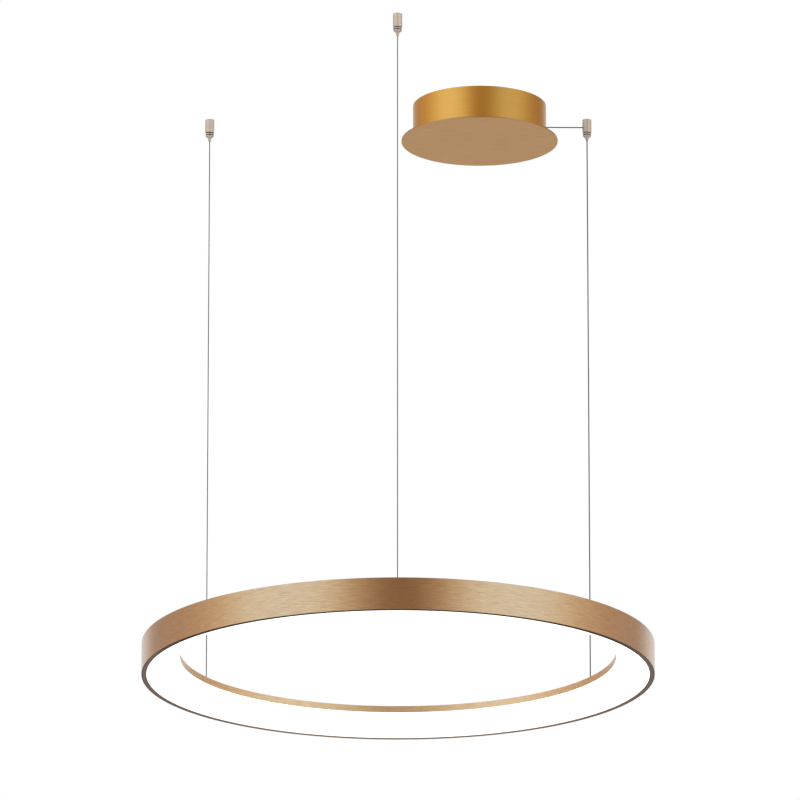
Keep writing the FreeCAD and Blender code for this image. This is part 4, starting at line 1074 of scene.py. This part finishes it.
def make_disc():
    """The thin brushed disc, with a plainer edge."""
    sizes = bpy.context.scene.chandelier_canopy
    radius = DISC_HIGH[0] - CANOPY[0]
    low = DISC_LOW[2]
    top = low + sizes.disc_thickness
    bevel = sizes.disc_bevel
    edge = closed_on_axis([(0.0, low), (radius, low), (radius, top), (0.0, top)], [0.0, bevel, bevel, 0.0])
    ahead = np.roll(edge, -1, axis=0)
    side = np.minimum(edge[:, 0], ahead[:, 0]) > radius - bevel / 2
    disc = turned("canopy_disc_brushed", edge, sizes.steps, centre=CANOPY, slots=side.astype(int))
    plainer = plain_metal("disc_edge", finishes().disc, rough=0.45, grain=0.0003)
    stand_in(smooth(disc), "canopy_disc", [plainer])


def make_studs():
    """The disc's four studs, which stand in the drum."""
    sizes = bpy.context.scene.chandelier_canopy
    sunk = 0.0005
    foot = DISC_LOW[2] + sizes.disc_thickness - sunk
    half = sizes.stud / 2
    corners = [(0.0, foot), (half, foot), (half, DISC_HIGH[2]), (0.0, DISC_HIGH[2])]
    outline = closed_on_axis(corners, [0.0, 0.0, 0.0004, 0.0])
    reach = sizes.stud_circle / 2
    for index in range(4):
        angle = index * FULL_TURN / 4
        spot = (CANOPY[0] + reach * math.cos(angle), CANOPY[1] + reach * math.sin(angle))
        stud = turned(f"disc_stud_{index}", outline, steps=24, centre=spot)
        added(smooth(stud), "zinc_steel", "canopy_disc")


def holed(across, up, holes):
    """Moves grid lines of a wall so that round holes can be left in it.

    across and up are the grid's arc lengths and heights. A point keeps its direction (u, v) from the
    hole's centre. Where max(|u|, |v|) is the hole's radius it goes to the circle, and the move fades out
    to twice that, so the square hole in the grid turns round. Gives the moved grid and a mask of the
    faces that are cut away.
    """
    s, z = np.meshgrid(across, up, indexing="ij")
    gone = np.zeros((len(across) - 1, len(up) - 1), bool)
    for centre_s, centre_z, radius in holes:
        u = s - centre_s
        v = z - centre_z
        square = np.maximum(abs(u), abs(v))
        far = np.hypot(u, v)
        share = np.clip((square - radius) / radius, 0, 1)
        near_hole = (square < 2 * radius - 1e-9) & (far > 1e-9)
        wanted = (1 - share) * radius + share * far
        scale = np.where(near_hole, wanted / np.maximum(far, 1e-9), 1.0)
        mid_u = np.abs((across[:-1] + across[1:]) / 2 - centre_s)[:, None]
        mid_v = np.abs((up[:-1] + up[1:]) / 2 - centre_z)[None, :]
        gone |= np.maximum(mid_u, mid_v) < radius
        s = centre_s + u * scale
        z = centre_z + v * scale
    return s, z, gone


def drop_loose(work):
    """Deletes the points that no face uses."""
    loose = [vertex for vertex in work.verts if not vertex.link_faces]
    bmesh.ops.delete(work, geom=loose, context="VERTS")


def make_drum():
    """The spun drum: one surface from the middle of its floor up its wall, with holes, then a wall."""
    sizes = bpy.context.scene.chandelier_canopy
    radius = radius_of("canopy_drum")
    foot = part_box("canopy_drum")[0][2]
    bush = np.mean(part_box("cable_bush"), axis=0)
    heading = math.atan2(bush[1] - CANOPY[1], bush[0] - CANOPY[0]) % FULL_TURN
    holes = [(radius * heading, bush[2], sizes.cable_hole / 2)]
    for way in (0.0, math.pi, FULL_TURN):
        holes.append((radius * way, -sizes.side_hole_drop, sizes.side_hole / 2))
    lines = [radius * FULL_TURN * np.arange(sizes.steps + 1) / sizes.steps]
    bend = 2 * sizes.wall
    levels = [np.linspace(foot + bend, 0.0, 24)]
    beside = np.linspace(-2, 2, 17)
    for centre_s, centre_z, hole in holes:
        lines.append(centre_s + hole * beside)
        levels.append(centre_z + hole * beside)
    across = np.unique(np.round(np.clip(np.concatenate(lines), 0, radius * FULL_TURN), 7))
    up = np.unique(np.round(np.concatenate(levels), 7))
    s, z, gone = holed(across, up, holes)
    turn = np.linspace(0, math.pi / 2, 7)[:-1]
    flat = np.linspace(0, radius - bend, 12)[:-1]
    cup_radii = np.concatenate([flat, radius - bend + bend * np.sin(turn)])
    cup_heights = np.concatenate([np.full(len(flat), foot), foot + bend - bend * np.cos(turn)])
    shape = (len(across), len(cup_radii))
    angles = np.concatenate([np.broadcast_to(across[:, None], shape), s], axis=1) / radius
    radii = np.concatenate([cup_radii, np.full(len(up), radius)])
    heights = np.concatenate([np.broadcast_to(cup_heights, shape), z], axis=1)
    faces, j, i = grid(*angles.shape, (False, False), flip=True)
    kept = ~np.concatenate([np.zeros((shape[0] - 1, shape[1]), bool), gone], axis=1)
    lengths = np.concatenate([cup_radii, radius + up - foot])
    uv = np.stack([across[j], lengths[i]], axis=-1)[kept].reshape(-1, 2)
    drum = mesh_object("canopy_drum_spun", about(CANOPY, radii, angles, heights), faces[kept], uv)
    reworked(drum.data, 1e-6, drop_loose)
    wall_modifier = drum.modifiers.new("Wall", "SOLIDIFY")
    wall_modifier.thickness = sizes.wall
    wall_modifier.offset = -1.0
    soft_edges(drum, width=0.0003, angle=50)
    stand_in(smooth(drum), "canopy_drum")


# ---------------------------------------------------------------- stage


# Colour of the room at each share of a half turn from the front.
ROOM = [
    (0.00, (0.25, 0.14, 0.088)),
    (0.06, (0.355, 0.205, 0.10)),
    (0.12, (0.70, 0.485, 0.29)),
    (0.19, (1.0, 1.0, 0.88)),
    (0.26, (1.0, 1.0, 1.0)),
    (0.34, (1.0, 1.0, 1.0)),
    (0.40, (1.0, 1.0, 0.88)),
    (0.48, (0.81, 0.62, 0.44)),
    (0.58, (0.61, 0.42, 0.28)),
    (0.66, (0.57, 0.39, 0.29)),
    (0.78, (0.44, 0.32, 0.24)),
    (0.86, (0.80, 0.72, 0.70)),
    (0.95, (0.92, 0.90, 0.92)),
    (1.00, (0.72, 0.68, 0.64)),
]
ROOM_RIGHT = 0.03  # how far the room's front lies to the right
CARD_STEPS = 24
SCREEN_TURN = (-75, 35)  # degrees from the right
CARD_TURN = (190, 350)
SCREEN_LEVELS = (-0.15, 1.2)
CARD_HEIGHT = 0.03
FRONT_LAMP = (3.2, -2.6, -0.2)  # the right one of the two
TOP_LAMP = (0.4, 0.6, 3.4)
FLOOR_REACH = 60.0


def studio_world(settings):
    """White to the camera. Metal sees a room with a warm dark middle, white beside it and warm sides.

    The room's colour depends on the direction's angle from a little to the right of the front, so that
    a round brushed wall shows soft bright and dark bands. Matt surfaces get an even light.
    """
    world = bpy.data.worlds.new("Studio")
    bpy.context.scene.world = world
    world.use_nodes = True
    tree = world.node_tree
    tree.nodes.clear()
    way = place(tree, "SeparateXYZ", {0: place(tree, "TexCoord").outputs["Generated"]})
    sideways = figure(tree, "ABSOLUTE", figure(tree, "SUBTRACT", way.outputs["X"], ROOM_RIGHT))
    front = figure(tree, "MULTIPLY", way.outputs["Y"], -1.0)
    angle = figure(tree, "DIVIDE", figure(tree, "ARCTAN2", sideways, front), math.pi)
    ramp = place(tree, "ValToRGB", {"Fac": angle})
    while len(ramp.color_ramp.elements) < len(ROOM):
        ramp.color_ramp.elements.new(0.5)
    for element, (position, shade) in zip(ramp.color_ramp.elements, ROOM):
        element.position = position
        element.color = (*shade, 1.0)
    upright = spread(tree, figure(tree, "ABSOLUTE", way.outputs["Z"]), 0.75, 0.97)
    room = blended(tree, upright, ramp.outputs["Color"], (0.62, 0.60, 0.58))
    path = place(tree, "LightPath").outputs
    shiny = figure(tree, "MAXIMUM", path["Is Glossy Ray"], path["Is Transmission Ray"])
    matt = blended(tree, shiny, (settings.sky,) * 3, room)
    seen = blended(tree, path["Is Camera Ray"], matt, (1.0, 1.0, 1.0))
    background = place(tree, "Background", {"Color": seen, "Strength": 1.0})
    out = place(tree, "OutputWorld")
    tree.links.new(background.outputs[0], out.inputs["Surface"])


def make_lamp(name, position, target, width, power):
    """A soft square lamp that lights matt surfaces only; metal sees the room's white walls instead."""
    light = bpy.data.lights.new(name, "AREA")
    light.shape = "SQUARE"
    light.size = width
    light.energy = power
    lamp = linked(name, light)
    lamp.location = position
    way = np.array(target) - np.array(position)
    lamp.rotation_euler = (math.atan2(math.hypot(way[0], way[1]), -way[2]), 0.0, math.atan2(-way[0], way[1]))
    lamp.visible_glossy = False


def make_floor(settings):
    """A pale floor that the light falls on. It can't be seen from below or by reflection in metal."""
    corners = FLOOR_REACH * np.array([(-1, -1), (1, -1), (1, 1), (-1, 1)])
    vertices = np.column_stack([corners, np.full(4, -settings.floor_drop)])
    floor = mesh_object("pale_floor", vertices, [[0, 1, 2, 3]])
    material, tree, shader = new_finish("pale_floor", Roughness=0.9)
    shader.inputs["Specular IOR Level"].default_value = 0.0
    tree.links.new(blended(tree, marks_of(tree, 0.8), (0.86,) * 3, (0.88,) * 3), shader.inputs["Base Color"])
    behind = place(tree, "NewGeometry").outputs["Backfacing"]
    unseen = figure(tree, "MAXIMUM", behind, place(tree, "LightPath").outputs["Is Glossy Ray"])
    clear = place(tree, "BsdfTransparent")
    mix = place(tree, "MixShader", {0: unseen, 1: shader.outputs[0], 2: clear.outputs[0]})
    tree.links.new(mix.outputs[0], tree.nodes["Material Output"].inputs["Surface"])
    set_finish(floor, material)


def make_card(name, centre, reach, turn, levels, tint):
    """An upright bent card, seen only by reflection, that lets the share tint of the light through."""
    angles = np.radians(np.linspace(*turn, CARD_STEPS))
    vertices = about(centre, reach, angles, np.array(levels)[:, None])
    card = mesh_object(name, vertices, grid(2, CARD_STEPS, (False, False))[0].reshape(-1, 4))
    material, tree, _ = new_finish(name)
    clear = place(tree, "BsdfTransparent", {"Color": (tint, tint, tint, 1.0)})
    tree.links.new(clear.outputs[0], tree.nodes["Material Output"].inputs["Surface"])
    set_finish(card, material)
    card.visible_camera = card.visible_diffuse = card.visible_shadow = False


def make_stage():
    """Camera, lamps, room, cards and floor."""
    settings = bpy.context.scene.chandelier_stage
    view = bpy.data.cameras.new("Camera")
    view.lens = settings.lens
    view.sensor_width = 36.0
    view.clip_start = 0.1
    view.clip_end = 400.0
    camera = linked("Camera", view)
    camera.location = (settings.camera_side, -settings.camera_back, RING_FOOT - settings.camera_drop)
    camera.rotation_euler = (math.pi / 2 + settings.camera_pitch, 0.0, settings.camera_yaw)
    scene = bpy.context.scene
    scene.camera = camera
    scene.view_settings.view_transform = "Standard"
    studio_world(settings)
    target = (0.0, 0.0, RING_FOOT / 2)
    for side in (-1, 1):
        spot = (side * FRONT_LAMP[0], *FRONT_LAMP[1:])
        make_lamp(f"front_lamp_{side + 1}", spot, target, width=2.4, power=settings.lamp)
    make_lamp("top_lamp", TOP_LAMP, target, width=3.0, power=settings.lamp)
    reach, tint = settings.screen_reach, settings.screen_tint
    make_card("smoke_screen", CANOPY, reach, SCREEN_TURN, SCREEN_LEVELS, tint)
    top = RING_FOOT - 0.001
    reach, tint = settings.card_reach, settings.card_tint
    make_card("dark_card", (0.0, 0.0), reach, CARD_TURN, (top - CARD_HEIGHT, top), tint)
    make_floor(settings)


# ---------------------------------------------------------------- operators


class CHANDELIER_OT_stage(bpy.types.Operator):
    """Sets the camera, the lamps, the room and the floor"""

    bl_idname = "chandelier.stage"
    bl_label = "Stage"

    def execute(self, context):
        make_stage()
        return {"FINISHED"}


class CHANDELIER_OT_wires(bpy.types.Operator):
    """Hangs the three wires"""

    bl_idname = "chandelier.wires"
    bl_label = "Wires"

    def execute(self, context):
        make_wires()
        return {"FINISHED"}


class CHANDELIER_OT_cable(bpy.types.Operator):
    """Lays the cable from the powered gripper to the driver"""

    bl_idname = "chandelier.cable"
    bl_label = "Power cable"

    def execute(self, context):
        make_cable()
        return {"FINISHED"}


class CHANDELIER_OT_ring(bpy.types.Operator):
    """Makes the two brushed halves of the ring"""

    bl_idname = "chandelier.ring"
    bl_label = "Ring profile"

    def execute(self, context):
        make_ring()
        return {"FINISHED"}


class CHANDELIER_OT_cover(bpy.types.Operator):
    """Makes the glowing opal cover"""

    bl_idname = "chandelier.cover"
    bl_label = "Opal cover"

    def execute(self, context):
        make_cover()
        return {"FINISHED"}


class CHANDELIER_OT_canopy(bpy.types.Operator):
    """Makes the spun drum and the brushed disc of the canopy"""

    bl_idname = "chandelier.canopy"
    bl_label = "Canopy"

    def execute(self, context):
        make_drum()
        make_disc()
        make_studs()
        return {"FINISHED"}


class CHANDELIER_OT_grippers(bpy.types.Operator):
    """Makes the threads and the coil springs of the grippers"""

    bl_idname = "chandelier.grippers"
    bl_label = "Grippers"

    def execute(self, context):
        make_threads()
        make_springs()
        return {"FINISHED"}


class CHANDELIER_OT_fittings(bpy.types.Operator):
    """Rounds the edges of the turned, bent and moulded fittings"""

    bl_idname = "chandelier.fittings"
    bl_label = "Fittings"

    def execute(self, context):
        round_fittings()
        return {"FINISHED"}


class CHANDELIER_OT_dress(bpy.types.Operator):
    """Gives the carried-over pieces their finishes"""

    bl_idname = "chandelier.dress"
    bl_label = "Finishes"

    def execute(self, context):
        dress_all()
        return {"FINISHED"}


class CHANDELIER_PT_panel(bpy.types.Panel):
    """Lists the steps of the chandelier's finish"""

    bl_idname = "CHANDELIER_PT_panel"
    bl_label = "Chandelier"
    bl_space_type = "VIEW_3D"
    bl_region_type = "UI"
    bl_category = "Chandelier"

    def draw(self, context):
        for step in STEPS:
            self.layout.operator(step.bl_idname)


STEPS = (
    CHANDELIER_OT_stage,
    CHANDELIER_OT_wires,
    CHANDELIER_OT_cable,
    CHANDELIER_OT_ring,
    CHANDELIER_OT_cover,
    CHANDELIER_OT_canopy,
    CHANDELIER_OT_grippers,
    CHANDELIER_OT_fittings,
    CHANDELIER_OT_dress,
)
GROUPS = {
    "chandelier_profile": ProfileSizes,
    "chandelier_canopy": CanopySizes,
    "chandelier_wires": WireSizes,
    "chandelier_grippers": GripperSizes,
    "chandelier_finishes": Finishes,
    "chandelier_stage": StageSettings,
}


register_classes, unregister_classes = bpy.utils.register_classes_factory(
    (*GROUPS.values(), *STEPS, CHANDELIER_PT_panel)
)


def register():
    register_classes()
    for name, group in GROUPS.items():
        setattr(bpy.types.Scene, name, PointerProperty(type=group))


def unregister():
    for name in GROUPS:
        delattr(bpy.types.Scene, name)
    unregister_classes()


def main():
    register()
    for step in STEPS:
        family, action = step.bl_idname.split(".")
        getattr(getattr(bpy.ops, family), action)()


if __name__ == "__main__":
    main()
